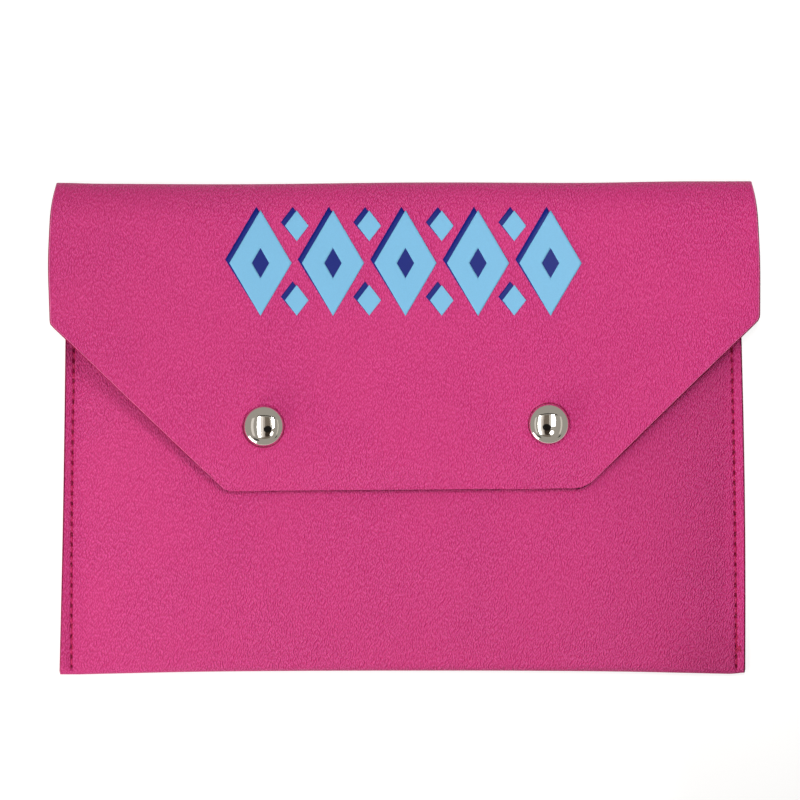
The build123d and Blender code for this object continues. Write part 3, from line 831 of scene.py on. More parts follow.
def knitted_backing(s):
    """Back of the sheet, which shows where the cloth turns away from the eye."""
    # Warp-knitted polyester, dyed with the coat. It gives the eye a matt, dusty side with fine
    # ribs of loops. Real loops are 0.5 mm wide; they are drawn at 0.8 mm, so that they show
    loop, fuzz_grain = 0.8 * MM, 0.5 * MM
    material, tree = new_material("knitted_backing")
    uv = add(tree, "ShaderNodeUVMap", uv_map="flat_cloth").outputs[0]
    ribs = add(tree, "ShaderNodeTexWave", {"Scale": WAVE_SPACING / loop, "Distortion": 1.2,
                                           "Detail": 1.0, "Detail Scale": 2.0},
               {"Vector": uv}, bands_direction="X")
    fuzz = add(tree, "ShaderNodeTexNoise", {"Scale": 1 / fuzz_grain, "Detail": 3.0}, {"Vector": uv})
    height = add(tree, "ShaderNodeMix", {"Factor": 0.5},
                 {2: ribs.outputs["Fac"], 3: fuzz.outputs["Fac"]}, data_type="FLOAT")
    bump = add(tree, "ShaderNodeBump", {"Strength": 0.8, "Distance": 0.12 * MM},
               {"Height": height.outputs[0]})
    shader = add(tree, "ShaderNodeBsdfPrincipled",
                 {"Roughness": 0.9, "IOR": 1.45, "Sheen Weight": 0.25, "Sheen Roughness": 0.5},
                 {"Base Color": mottled(tree, s.cloth.knit, height.outputs[0], 0.75, 1.1),
                  "Normal": bump.outputs[0]})
    return finished(material, shader)


def cut_foam(s):
    """Blade-cut edge of the sheet, between coat and backing."""
    # Polyurethane foam, laid open by the blade. It gives the eye a dull, dark crimson line that
    # is slightly ragged. Real cells are 0.15 mm wide; they are drawn at 0.35 mm, so that they show
    cell = 0.35 * MM
    material, tree = new_material("cut_foam")
    where = add(tree, "ShaderNodeTexCoord").outputs["Object"]
    cells = add(tree, "ShaderNodeTexNoise", {"Scale": 1 / cell, "Detail": 3.0}, {"Vector": where})
    bump = add(tree, "ShaderNodeBump", {"Strength": 0.6, "Distance": 0.08 * MM},
               {"Height": cells.outputs["Fac"]})
    shader = add(tree, "ShaderNodeBsdfPrincipled",
                 {"Roughness": 0.9, "IOR": 1.45, "Specular IOR Level": 0.15},
                 {"Base Color": mottled(tree, s.cloth.cut, cells.outputs["Fac"], 0.7, 1.15),
                  "Normal": bump.outputs[0]})
    return finished(material, shader)


def sewing_thread(s):
    """Thread of both side seams."""
    # Bonded polyester, twisted from plies. It gives the eye a soft crimson shine in slanting
    # stripes, and painted shade turns it nearly black red where it dives into a needle hole
    ply_width, lay = 0.34 * MM, math.radians(35)
    material, tree = new_material("bonded_polyester_thread")
    where = add(tree, "ShaderNodeTexCoord").outputs["Object"]
    turned = add(tree, "ShaderNodeMapping", {"Rotation": (0, 0, lay)}, {"Vector": where})
    ply = add(tree, "ShaderNodeTexWave", {"Scale": WAVE_SPACING / ply_width, "Distortion": 0.6},
              {"Vector": turned.outputs[0]}, bands_direction="Y")
    bump = add(tree, "ShaderNodeBump", {"Strength": 0.7, "Distance": 0.08 * MM},
               {"Height": ply.outputs["Fac"]})
    # Painted shade where the thread dives into a hole
    hole_shade = add(tree, "ShaderNodeAttribute", attribute_name="hole_shade")
    thread_with_hole_shade = add(tree, "ShaderNodeMix",
               {6: linear(s.seam.colour), 7: linear(s.seam.thread_hole_shade)},
               {"Factor": hole_shade.outputs["Fac"]}, data_type="RGBA")
    shader = add(tree, "ShaderNodeBsdfPrincipled",
                 {"Roughness": 0.6, "IOR": 1.53, "Specular IOR Level": 0.3},
                 {"Base Color": mottled(tree, thread_with_hole_shade.outputs[2], ply.outputs["Fac"], 0.8, 1.15),
                  "Normal": bump.outputs[0]})
    return finished(material, shader)


def plated_metal(name, hex_value, roughness, wear, grit):
    """Metal of the snaps, mirror bright or tumbled as its roughness says."""
    # Plated or drawn metal. It gives the eye the room's image, which handling marks as wide as
    # the grit, in millimetres, blur a little more in some places than in others
    material, tree = new_material(name)
    where = add(tree, "ShaderNodeTexCoord").outputs["Object"]
    marks = add(tree, "ShaderNodeTexNoise", {"Scale": 1 / (grit * MM), "Detail": 3.0},
                {"Vector": where})
    rough = add(tree, "ShaderNodeMapRange",
                {"From Min": 0.35, "From Max": 0.75, "To Min": roughness,
                 "To Max": roughness + wear}, {"Value": marks.outputs["Fac"]})
    shader = add(tree, "ShaderNodeBsdfPrincipled",
                 {"Base Color": linear(hex_value), "Metallic": 1.0},
                 {"Roughness": rough.outputs[0]})
    return finished(material, shader)


def transfer_film(name, hex_value, s):
    """One layer of the ornament."""
    # Vinyl film, pressed on hot. It gives the eye a flat, even colour with a faint satin gleam,
    # in which the grain of the coat under it just shows
    material, tree = new_material(name)
    where = add(tree, "ShaderNodeTexCoord").outputs["Object"]
    grain = add(tree, "ShaderNodeTexNoise", {"Scale": 1 / (s.cloth.grain_width * MM), "Detail": 2.0},
                {"Vector": where})
    bump = add(tree, "ShaderNodeBump", {"Strength": 0.5, "Distance": 0.06 * MM},
               {"Height": grain.outputs["Fac"]})
    shader = add(tree, "ShaderNodeBsdfPrincipled",
                 {"Roughness": 0.42, "IOR": 1.5, "Specular IOR Level": 0.15},
                 {"Base Color": mottled(tree, hex_value, grain.outputs["Fac"], 0.93, 1.05),
                  "Normal": bump.outputs[0]})
    return finished(material, shader)


def cloth_materials(s):
    """The coat, backing and cut edge, made once and shared by the sheet's pieces."""
    makers = {"polyurethane_coat": polyurethane_coat, "knitted_backing": knitted_backing,
              "cut_foam": cut_foam}
    return [bpy.data.materials.get(name) or maker(s) for name, maker in makers.items()]


# Operators

class POUCH_OT_front(bpy.types.Operator):
    """Front of the pocket and the bottom fold, one piece of cloth that the seams pull down"""
    bl_idname = "pouch.front"
    bl_label = "Front and bottom fold"

    def execute(self, context):
        s = settings(context)
        plain = front_surface(s)
        x, y = plain[..., X], plain[..., Y]
        normal = facing(plain)
        dip, lift, pit_shade = seam_dip(x, y, s.seam)
        # The front is loose enough for waves only off the seams, the foot and the snaps
        inside = smooth(puff(x, s.pocket), 0.05, 0.5) * smooth(plain[..., Z], 3.0, 5.0)
        free = np.ones_like(x)
        for _, at in snap_places(s):
            free = free * smooth(np.hypot(x - at[X], y - at[Y]), 6, 20)
        sway = soft_sway(x, y, (60, 21), (20, 7))
        offset = lift * (normal[..., Z] > 0.5) + s.pocket.sway * sway * inside * free
        back = plain + normal * (offset - s.cloth.thickness)[..., None]
        face = plain + normal * (offset - dip)[..., None]
        run = sheet_run(plain)
        made = cloth_shell("front_and_bottom_fold", face, facing(face), back,
                           on_flat_sheet(x, run - run[-1]), s, joined=("last",), pit_shade=pit_shade)
        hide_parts("front_panel", "bottom_fold")
        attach(made, "pouch")
        return {"FINISHED"}


class POUCH_OT_back(bpy.types.Operator):
    """Back of the pouch, running up into the lower half of the soft top fold"""
    bl_idname = "pouch.back"
    bl_label = "Back and lower half of the top fold"

    def execute(self, context):
        s = settings(context)
        plain = back_surface(s)
        x, y, z = plain[..., X], plain[..., Y], plain[..., Z]
        normal = facing(plain)
        normal[-1] = (0, 1, 0)
        dip, _, pit_shade = seam_dip(x, y, s.seam)
        flat_part = z < 0.01
        back = plain - normal * s.cloth.thickness
        face = plain - normal * (dip * flat_part)[..., None]
        turned = facing(face)
        turned[-1], turned[0] = (0, 1, 0), turned[1]
        made = cloth_shell("back_and_lower_fold", face, turned, back,
                           on_flat_sheet(x, sheet_run(plain)), s,
                           joined=("first", "last"), pit_shade=pit_shade * flat_part)
        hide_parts("back_panel")
        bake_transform(made)
        return {"FINISHED"}


class POUCH_OT_flap(bpy.types.Operator):
    """Upper half of the top fold and the tapered flap, with its wings curling up a little"""
    bl_idname = "pouch.flap"
    bl_label = "Flap and upper half of the top fold"

    def execute(self, context):
        s = settings(context)
        face = flap_surface(s)
        normal = facing(face)
        normal[0] = (0, 1, 0)
        back = face - normal * s.cloth.thickness
        made = cloth_shell("flap_and_upper_fold", face, normal, back,
                           on_flat_sheet(face[..., X], flap_run(face, s)), s, joined=("first",))
        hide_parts("flap", "flap_crease")
        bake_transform(made)
        return {"FINISHED"}


def thread_stitch(s, name):
    """One stitch of thread, arched over the cloth and diving at both ends, along +Y."""
    radius, pitch = s.seam.thread, stitch_pitch(s.seam)
    around, along = 8, 9
    flatness, slimmer, dive_power, hole_shade_start, hole_shade_end = 0.85, 0.3, 1.9, 0.35, 0.75
    points, hole_shades = [], []
    for t in np.linspace(0, 1, along):
        away = abs(2 * t - 1)
        height = -s.seam.sink * away ** dive_power
        slim = 1 - slimmer * away ** 4
        # Painted shade: the ends of a stitch, down in the needle holes, are marked for a darker
        # colour
        hole_shades += [float(smooth(away, hole_shade_start, hole_shade_end))] * around
        for k in range(around):
            turn = math.tau * k / around
            points.append((radius * slim * math.cos(turn), pitch * (t - 0.5),
                           height + radius * flatness * slim * math.sin(turn)))
    rings = np.arange(len(points)).reshape(along, around)
    faces = [face for a, b in zip(rings, rings[1:]) for face in between_rings(a, b).tolist()]
    faces += [rings[0].tolist(), rings[-1][::-1].tolist()]
    made = mesh_object(name, points, faces, [])
    add_value(made, "hole_shade", hole_shades)
    return made


def stitch_tree(thread):
    """Node tree that sets a stitch on every point of a line of stitch middles."""
    tree = bpy.data.node_groups.new("Stitches", "GeometryNodeTree")
    for name, way, kind in (
            ("Geometry", "INPUT", "Geometry"), ("Stitch", "INPUT", "Object"),
            ("Unevenness", "INPUT", "Float"), ("Tension spread", "INPUT", "Float"),
            ("Seed", "INPUT", "Int"), ("Geometry", "OUTPUT", "Geometry")):
        tree.interface.new_socket(name=name, in_out=way, socket_type=f"NodeSocket{kind}")
    source = add(tree, "NodeGroupInput")
    stitch = add(tree, "GeometryNodeObjectInfo", None, {"Object": source.outputs["Stitch"]},
                 transform_space="ORIGINAL")
    direction = add(tree, "GeometryNodeInputNamedAttribute", {"Name": "turn"},
                    data_type="FLOAT_VECTOR")
    low = add(tree, "ShaderNodeMath", {1: -1.0}, {0: source.outputs["Unevenness"]},
              operation="MULTIPLY")
    lean = add(tree, "FunctionNodeRandomValue", None,
               {2: low.outputs[0], 3: source.outputs["Unevenness"],
                "Seed": source.outputs["Seed"]}, data_type="FLOAT")
    lean_turn = add(tree, "ShaderNodeCombineXYZ", None, {"Z": lean.outputs[1]})
    turned = add(tree, "ShaderNodeVectorMath", None,
                 {0: direction.outputs[0], 1: lean_turn.outputs[0]}, operation="ADD")
    slack = add(tree, "ShaderNodeMath", {0: 1.0}, {1: source.outputs["Tension spread"]},
                operation="SUBTRACT")
    size = add(tree, "FunctionNodeRandomValue", {3: 1.0},
               {2: slack.outputs[0], "Seed": source.outputs["Seed"]}, data_type="FLOAT")
    grown = add(tree, "ShaderNodeCombineXYZ", {"Y": 1.0},
                {"X": size.outputs[1], "Z": size.outputs[1]})
    as_points = add(tree, "GeometryNodeMeshToPoints", None, {"Mesh": source.outputs["Geometry"]})
    sewn = add(tree, "GeometryNodeInstanceOnPoints", None,
               {"Points": as_points.outputs[0], "Instance": stitch.outputs["Geometry"],
                "Rotation": turned.outputs[0], "Scale": grown.outputs[0]})
    real = add(tree, "GeometryNodeRealizeInstances", None, {0: sewn.outputs[0]})
    soft = add(tree, "GeometryNodeSetShadeSmooth", None, {0: real.outputs[0]})
    painted = add(tree, "GeometryNodeSetMaterial", None, {"Geometry": soft.outputs[0]})
    painted.inputs["Material"].default_value = thread
    sink = add(tree, "NodeGroupOutput")
    tree.links.new(painted.outputs[0], sink.inputs[0])
    return tree


def stitch_middles(s, side, front):
    """Middles of one thread's stitches along a side, and how far each stitch is turned."""
    seam, pitch = s.seam, stitch_pitch(s.seam)
    lean = math.atan2(seam.bottom[X] - seam.top[X] + seam.right_in * (side > 0),
                      seam.top[Y] - seam.bottom[Y])
    bedded = 0.9
    depth = seam.valley + seam.groove - seam.thread * bedded
    height = 2 * s.cloth.thickness + seam.gap - depth if front else depth
    y = seam.bottom[Y] + pitch * (np.arange(seam.count) + 0.5)
    x = side * seam_at(y, seam, side > 0)
    z = np.full(len(x), height)
    # The stitches at the foot are sewn over twice, a little beside the first run
    again, tack_along, tack_rise = np.arange(1, 4), 0.45, 0.12 if front else -0.02
    y = np.concatenate([y, y[again] + pitch * tack_along])
    x = np.concatenate([x, x[again] + seam.tack_shift])
    z = np.concatenate([z, z[again] + tack_rise])
    turns = np.full(len(x), side * lean)
    if front and side > 0:
        # The end of the right needle thread is knotted beside its seam, in three short turns
        knot = seam.knot + np.array([(0.0, 0.0), (0.35, -0.2), (-0.2, 0.3)])
        x, y = np.concatenate([x, knot[:, X]]), np.concatenate([y, knot[:, Y]])
        z = np.concatenate([z, height + np.array([0.5, 0.62, 0.55])])
        turns = np.concatenate([turns, np.radians([-28, 12, -62])])
    return np.stack([x, y, z], 1), turns


class POUCH_OT_threads(bpy.types.Operator):
    """Lockstitch threads of both side seams, in front and behind, with a back-tack at the foot"""
    bl_idname = "pouch.threads"
    bl_label = "Sewing threads"

    def execute(self, context):
        s = settings(context)
        thread = sewing_thread(s)
        stitch = thread_stitch(s, "stitch_shape")
        tree = stitch_tree(thread)
        inputs = {item.name: item.identifier for item in tree.interface.items_tree
                  if item.in_out == "INPUT"}
        for side, side_name in ((-1, "left"), (1, "right")):
            for front, layer in ((True, "needle"), (False, "bobbin")):
                middles, turns = stitch_middles(s, side, front)
                mesh = bpy.data.meshes.new(f"{side_name}_{layer}_line")
                mesh.from_pydata((middles * MM).tolist(), [], [])
                turn = mesh.attributes.new("turn", "FLOAT_VECTOR", "POINT")
                angles = np.zeros((len(middles), 3), np.float32)
                angles[:, Z] = turns
                angles[:, Y] = 0 if front else math.pi
                turn.data.foreach_set("vector", angles.ravel())
                line = bpy.data.objects.new(f"{side_name}_{layer}_line", mesh)
                context.scene.collection.objects.link(line)
                modifier = line.modifiers.new("Stitches", "NODES")
                modifier.node_group = tree
                modifier[inputs["Stitch"]] = stitch
                modifier[inputs["Unevenness"]] = 0.07
                modifier[inputs["Tension spread"]] = 0.12
                # Each thread has a seed of its own
                modifier[inputs["Seed"]] = 3 + side + 5 * front
                context.view_layer.update()
                evaluated = line.evaluated_get(context.evaluated_depsgraph_get())
                sewn = bpy.data.meshes.new_from_object(evaluated)
                made = bpy.data.objects.new(f"{side_name}_{layer}_stitches", sewn)
                context.scene.collection.objects.link(made)
                bpy.data.objects.remove(line)
                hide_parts(f"{side_name}_{layer}_thread")
                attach(made, "pouch")
        bpy.data.objects.remove(stitch)
        return {"FINISHED"}


def turned_shape(name, section, at, segments, material):
    """A closed turned part from its section, rows of (radius, height), about an upright axis."""
    section = np.asarray(section)
    turn = np.linspace(0, math.tau, segments, endpoint=False)
    rings = np.stack([at[X] + section[:, :1] * np.cos(turn),
                      at[Y] + section[:, :1] * np.sin(turn),
                      np.repeat(section[:, 1:], segments, 1)], 2)
    points = rings.reshape(-1, 3)
    index = np.arange(len(points)).reshape(len(section), segments)
    faces = []
    for a, b in zip(index, index[1:]):
        faces += between_rings(a, b)[:, (0, 3, 2, 1)].tolist()
    faces += [index[-1].tolist(), index[0][::-1].tolist()]
    return mesh_object(name, points, faces, [material])


class POUCH_OT_snaps(bpy.types.Operator):
    """Dome caps of the snap fasteners, and the finishes of their inner parts"""
    bl_idname = "pouch.snaps"
    bl_label = "Snap fasteners"

    def execute(self, context):
        s = settings(context)
        snap, base = s.snap, s.flap.top
        # Nickel plate over buffed brass: a warm mirror with a soft haze
        nickel = plated_metal("buffed_nickel_plate", snap.nickel, roughness=0.035, wear=0.035,
                              grit=1.5)
        # Tumbled nickel plate: the inner parts are duller and never buffed
        inner = plated_metal("tumbled_nickel_plate", snap.tumbled, roughness=0.28, wear=0.12,
                             grit=0.4)
        # Drawn steel wire: grey, with a fine haze left by the die
        steel = plated_metal("drawn_spring_steel", snap.steel, roughness=0.3, wear=0.1, grit=0.2)
        foot = base + snap.height - snap.dome
        inside = snap.radius - snap.metal
        # A cap's section runs from inside its dome, round the turned-in lip and up over its top
        for side, at in snap_places(s):
            section = []
            for angle in np.radians(np.linspace(2, 90, 14)):
                section.append((inside * math.sin(angle),
                                foot + (snap.dome - snap.metal) * math.cos(angle)))
            section += [(inside, base + snap.edge), (snap.lip, base + snap.metal),
                        (snap.lip, base)]
            for angle in np.radians(np.linspace(-90, 0, 9)):
                section.append((snap.radius - snap.edge * (1 - math.cos(angle)),
                                base + snap.edge * (1 + math.sin(angle))))
            for angle in np.radians(np.linspace(90, 0.6, 44)):
                section.append((snap.radius * math.sin(angle), foot + snap.dome * math.cos(angle)))
            made = turned_shape(f"{side}_cap", section, at, 96, nickel)
            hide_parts(f"{side}_cap_shell")
            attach(made, "flap")
            for part, finish in (("cap_rivet", inner), ("socket", inner), ("stud", inner),
                                 ("post", inner), ("ring_spring", steel)):
                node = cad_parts[f"{side}_{part}"]
                node.data.materials.clear()
                node.data.materials.append(finish)
        return {"FINISHED"}


def film_patch(outline, window, offset, s, rings=12, per_edge=14):
    """Points and faces of one closed patch of film that lies on the flap's face.

    outline is a ring of corners, and window a smaller ring that is left open, or None.
    """
    def walk(corners):
        corners = np.asarray(corners, float)
        after = np.roll(corners, -1, axis=0)
        t = np.arange(per_edge)[:, None] / per_edge
        return np.concatenate([a + (b - a) * t for a, b in zip(corners, after)])

    outer = walk(outline)
    count = len(outer)
    if window is None:
        inner = outer + (np.mean(outline, axis=0) - outer) * (1 - 1 / rings)
    else:
        inner = walk(window)
    plan = inner + (outer - inner) * np.linspace(0, 1, rings)[:, None, None]
    x, y = plan[..., X], plan[..., Y]
    low = film_bed(x, y, s) + offset
    layers = []
    for height in (low, low + s.film.thickness):
        layers.append(np.stack([x, y, height], 2).reshape(-1, 3))
    index = np.arange(rings * count).reshape(rings, count)
    top = index + rings * count
    faces = []
    for a, b in zip(top, top[1:]):
        faces += between_rings(a, b).tolist()
    for a, b in zip(index, index[1:]):
        faces += between_rings(a, b)[:, ::-1].tolist()
    faces += between_rings(top[-1], index[-1]).tolist()
    if window is None:
        faces += [top[0].tolist(), index[0][::-1].tolist()]
    else:
        faces += between_rings(top[0], index[0])[:, ::-1].tolist()
    return np.concatenate(layers), faces


def film_bed(x, y, s):
    """Height of the flap's face, on the flat part and over the start of the top fold."""
    reach, last = s.flap.fold_reach, 0.999
    over = np.clip((y - (s.pocket.half_height - reach)) / reach, 0, last)
    return flap_height(x, y, s) - s.flap.top / 2 * (1 - np.sqrt(1 - over ** 2))


def lozenge(middle, size):
    """Corners of a lozenge, anticlockwise from its right one."""
    w, h = size[X] / 2, size[Y] / 2
    return [(middle[X] + dx, middle[Y] + dy) for dx, dy in ((w, 0), (0, h), (-w, 0), (0, -h))]


def lozenge_shade(middle, size, shift):
    """Corners of a lozenge drawn out towards its shade, up and to the left."""
    right, top, left, low = [np.array(c) for c in lozenge(middle, size)]
    return [right, right + shift, top + shift, left + shift, low, low]


class POUCH_OT_film(bpy.types.Operator):
    """Plain ornament of lozenges in two layers of transfer film, lying on the flap"""
    bl_idname = "pouch.film"
    bl_label = "Film ornament"

    def execute(self, context):
        s = settings(context)
        film = s.film
        places = []
        for k in range(film.count):
            places.append((film.centre + ((k - (film.count - 1) / 2) * film.pitch, 0), True))
        for k in range(film.count - 1):
            for up in (-1, 1):
                places.append((film.centre + ((k - (film.count - 2) / 2) * film.pitch,
                                              up * film.small_offset), False))
        light = transfer_film("transfer_film_light_blue", film.light, s)
        dark = transfer_film("transfer_film_dark_blue", film.dark, s)
        # The dark layer lies just clear of the coat, and the light one just clear of the dark
        for name, node, slot, material, shaded, offset in (
                ("shade_of_lozenges", "ornament_shade", "film_dark", dark, True, 0.004),
                ("row_of_lozenges", "ornament_face", "film_light", light, False,
                 film.thickness + 0.006)):
            points, faces, start = [], [], 0
            for middle, large in places:
                size = film.large if large else film.small
                window = lozenge(middle, film.window) if large and not shaded else None
                outline = (lozenge_shade(middle, size, film.shift) if shaded
                           else lozenge(middle, size))
                some_points, some_faces = film_patch(outline, window, offset, s)
                points.append(some_points)
                faces += [[start + corner for corner in face] for face in some_faces]
                start += len(some_points)
            made = mesh_object(name, np.concatenate(points), faces, [material])
            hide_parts(node)
            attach(made, "flap")
        return {"FINISHED"}


def lamp(name, middle, size, radiance, aim=None):
    """A rectangular lamp that faces down, or towards a point."""
    light = bpy.data.lights.new(name, "AREA")
    light.shape = "RECTANGLE"
    light.size, light.size_y = size[X] * MM, size[Y] * MM
    # An area lamp's power is its radiance times its area times pi
    light.energy = radiance * size[X] * size[Y] * MM * MM * math.pi
    made = bpy.data.objects.new(name, light)
    made.location = Vector(middle) * MM
    if aim is not None:
        made.rotation_euler = (Vector(aim) - Vector(middle)).to_track_quat("-Z", "Y").to_euler()
    bpy.context.scene.collection.objects.link(made)
    return made


class POUCH_OT_stage(bpy.types.Operator):
    """White table in a light tent with three lamps and a black card, and the camera above"""
    bl_idname = "pouch.stage"
    bl_label = "Stage"

    def execute(self, context):
        s = settings(context)
        self.table_and_tent(s.stage)
        self.lamps_and_flag(s.stage)
        self.mirrored_cards(s.stage)
        self.white_room(context.scene, s.stage)
        self.camera_above(context.scene, s)
        return {"FINISHED"}

    @staticmethod
    def square(side, *heights):
        """Corners of upright stacked squares about the middle of the table."""
        return [(x, y, z) for z in heights for x, y in
                ((-side, -side), (side, -side), (side, side), (-side, side))]

    def table_and_tent(self, stage):
        """The table, and the tent round it, whose near wall hangs in front of the left half."""
        reach, low = 3000.0, -0.05
        table = mesh_object("table", self.square(reach, low), [(0, 1, 2, 3)],
                            [self.white_laminate(stage)])

        side = stage.tent
        corners = self.square(side, 0, side) + [(0, -side, 0), (0, -side, side)]
        walls = (("tent_near", (0, 8, 9, 4)), ("tent_right", (1, 2, 6, 5)),
                 ("tent_far", (2, 3, 7, 6)), ("tent_left", (3, 0, 4, 7)),
                 ("tent_top", (4, 5, 6, 7)))
        cloths = [self.glowing(name, getattr(stage, name)) for name, _ in walls]
        tent = mesh_object("light_tent", corners, [face for _, face in walls], cloths,
                           range(len(walls)))
        tent.visible_camera = False

    def lamps_and_flag(self, stage):
        """The lamps, and a black card that shades the pocket's right foot from one of them."""
        # Each row: middle, size, radiance, and the point that the lamp is turned to
        lamps = (
            ("left_strip", (-117, -22, stage.strips), (44, 355), stage.left_strip, None),
            ("right_strip", (112, 64, stage.strips), (42, 188), stage.right_strip, None),
            ("low_lamp", (-290, -300, 105), (220, 150), stage.low_lamp, (0, 0, 10)),
        )
        for row in lamps:
            lamp(*row)
        flag_height = 100
        plan = ((84, -95), (175, -95), (175, -44), (92, -50))
        flag = mesh_object("black_flag", [(*at, flag_height) for at in plan], [(0, 1, 2, 3)],
                           [self.glowing("black_flag", 0.0)])
        flag.visible_camera = flag.visible_glossy = False

    def mirrored_cards(self, stage):
        """What the polished caps mirror: a pale room, the cloths of its ceiling and the camera."""
        top, side = stage.strips, 430
        shell = mesh_object("mirrored_room", self.square(side, 0, top + 6),
                            [(0, 1, 5, 4), (1, 2, 6, 5), (2, 3, 7, 6), (3, 0, 4, 7), (4, 5, 6, 7)],
                            [self.glowing("mirrored_room", stage.ceiling, (1.0, 0.95, 0.88))])
        # Each row: middle, size, height, radiance as a share of the room's, tint and corners
        cards = (
            ("left_fold", (-255, -30), (80, 380), top + 4, 2.1, (1.0, 0.96, 0.92), 4),
            ("right_fold", (290, -30), (60, 380), top + 4, 1.9, (1.0, 0.95, 0.88), 4),
            ("middle_cloth", (0, -50), (160, 400), top + 4, 0.5, (1.0, 0.84, 0.7), 4),
            ("left_glow", (-74, -22), (44, 350), top + 3, 2.4, (1.0, 0.95, 0.92), 4),
            ("left_haze", (-40, -22), (26, 340), top + 3, 1.3, (1.0, 0.9, 0.84), 4),
            ("right_glow", (72, 43), (40, 225), top + 3, 1.9, (1.0, 0.95, 0.9), 4),
            ("far_seam", (25, 176), (370, 26), top + 2, 0.12, (1.0, 0.88, 0.76), 4),
            ("camera_grip", (25, -125), (100, 120), top - 4, 0.12, (1.0, 0.7, 0.55), 16),
            ("camera_body", (15, -45), (125, 100), top - 6, 0.03, (1.0, 0.9, 0.85), 16),
            ("small_lamp", (90, -134), (64, 94), top - 8, 9.0, (1.0, 0.98, 0.96), 16),
            ("left_stand", (-245, -360), (160, 130), top - 2, 0.12, (0.85, 1.0, 0.8), 4),
            ("right_stand", (370, -375), (120, 150), top - 2, 0.06, (0.85, 1.0, 0.85), 4),
        )
        mirrored = [shell]
        for name, middle, size, height, level, tint, corners in cards:
            # A square's corners lie farther out than its sides
            reach = math.sqrt(0.5) if corners == 4 else 0.5
            turns = -math.tau * (np.arange(corners) + 0.5) / corners
            points = np.stack([middle[X] + size[X] * reach * np.cos(turns),
                               middle[Y] + size[Y] * reach * np.sin(turns),
                               np.full(corners, height)], 1)
            mirrored.append(mesh_object(name, points, [range(corners)],
                                        [self.glowing(name, stage.ceiling * level, tint)]))
        for card in mirrored:
            card.visible_camera = card.visible_diffuse = card.visible_shadow = False

    @staticmethod
    def white_room(scene, stage):
        """The world: plain white to the camera and in the metal, and nearly dark as a light."""
        world = bpy.data.worlds.new("white_room")
        world.use_nodes = True
        tree = world.node_tree
        tree.nodes.clear()
        room = add(tree, "ShaderNodeBackground",
                   {"Color": (*WARM_WHITE, 1.0), "Strength": stage.tent_top})
        white = add(tree, "ShaderNodeBackground", {"Color": (1, 1, 1, 1), "Strength": 1.0})
        seen = add(tree, "ShaderNodeMixShader", None,
                   {0: seen_directly(tree), 1: room.outputs[0], 2: white.outputs[0]})
        add(tree, "ShaderNodeOutputWorld", None, {"Surface": seen.outputs[0]})
        scene.world = world
        scene.view_settings.view_transform = "Standard"

    @staticmethod
    def camera_above(scene, s):
        """The camera, straight above, which shows the field's width at the pouch's mid height."""
        stage = s.stage
        camera = bpy.data.cameras.new("camera")
        camera.sensor_width = 36.0
        middle_height = s.flap.top / 2
        camera.lens = camera.sensor_width * (stage.distance - middle_height) / stage.field
        camera.clip_start, camera.clip_end = 0.1, 20.0
        eye = bpy.data.objects.new("camera", camera)
        eye.location = (stage.centre[X] * MM, stage.centre[Y] * MM, stage.distance * MM)
        scene.collection.objects.link(eye)
        scene.camera = eye

    @staticmethod
    def white_laminate(stage):
        """Top of the table."""
        # Melamine laminate. It gives the eye a plain matt white, grey only where it is shaded
        material, tree = new_material("white_laminate")
        body = add(tree, "ShaderNodeBsdfPrincipled",
                   {"Base Color": linear(stage.table), "Roughness": 0.7})
        glow = add(tree, "ShaderNodeEmission",
                   {"Color": (1, 1, 1, 1), "Strength": stage.table_glow})
        both = add(tree, "ShaderNodeAddShader", None, {0: body.outputs[0], 1: glow.outputs[0]})
        seen = add(tree, "ShaderNodeMixShader", None,
                   {0: seen_directly(tree), 1: body.outputs[0], 2: both.outputs[0]})
        return finished(material, seen)

    @staticmethod
    def glowing(name, radiance, tint=WARM_WHITE):
        """A wall of the tent, a card or the black flag, as bright as its radiance says."""
        # Lit nylon or card. The eye meets only its light, and its image in the polished caps
        material, tree = new_material(name)
        glow = add(tree, "ShaderNodeEmission", {"Color": (*tint, 1.0), "Strength": radiance})
        return finished(material, glow)


def seen_directly(tree):
    """Socket that is 1 for what the camera sees, straight or in metal or glass."""
    path = add(tree, "ShaderNodeLightPath")
    gloss = add(tree, "ShaderNodeMath", None,
                {0: path.outputs["Is Camera Ray"], 1: path.outputs["Is Glossy Ray"]},
                operation="MAXIMUM")
    return add(tree, "ShaderNodeMath", None,
               {0: gloss.outputs[0], 1: path.outputs["Is Transmission Ray"]},
               operation="MAXIMUM").outputs[0]


OPERATORS = (POUCH_OT_back, POUCH_OT_front, POUCH_OT_flap, POUCH_OT_threads, POUCH_OT_snaps,
             POUCH_OT_film, POUCH_OT_stage)


class POUCH_PT_panel(bpy.types.Panel):
    """Lists the pouch's pieces and their sizes"""
    bl_idname = "POUCH_PT_panel"
    bl_label = "Card pouch"
    bl_space_type = "VIEW_3D"
    bl_region_type = "UI"
    bl_category = "Pouch"

    def draw(self, context):
        for key in GROUPS:
            box = self.layout.box()
            group = getattr(context.scene, key)
            for prop in group.bl_rna.properties:
                if prop.identifier not in ("rna_type", "name"):
                    box.prop(group, prop.identifier)
        for operator in OPERATORS:
            self.layout.operator(operator.bl_idname)


def register():
    for key, group in GROUPS.items():
        bpy.utils.register_class(group)
        setattr(bpy.types.Scene, key, PointerProperty(type=group))
    for operator in OPERATORS:
        bpy.utils.register_class(operator)
    bpy.utils.register_class(POUCH_PT_panel)


def unregister():
    bpy.utils.unregister_class(POUCH_PT_panel)
    for operator in reversed(OPERATORS):
        bpy.utils.unregister_class(operator)
    for key, group in reversed(GROUPS.items()):
        delattr(bpy.types.Scene, key)
        bpy.utils.unregister_class(group)


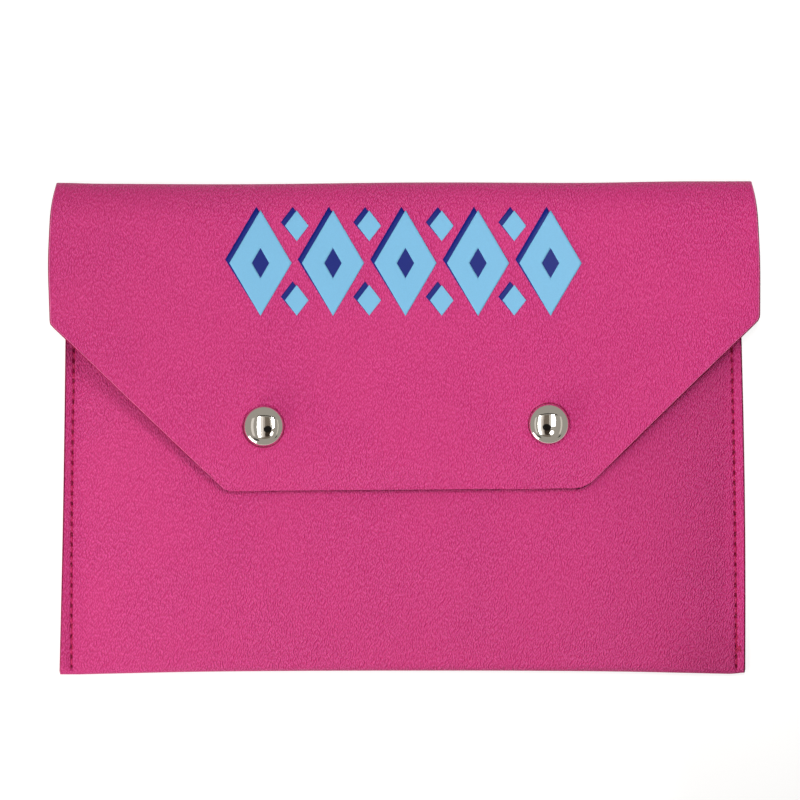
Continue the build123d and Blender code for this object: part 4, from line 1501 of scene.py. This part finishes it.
def main():
    register()
    bpy.ops.pouch.back()
    bpy.ops.pouch.front()
    bpy.ops.pouch.flap()
    bpy.ops.pouch.threads()
    bpy.ops.pouch.snaps()
    bpy.ops.pouch.film()
    bpy.ops.pouch.stage()


if __name__ == "__main__":
    main()
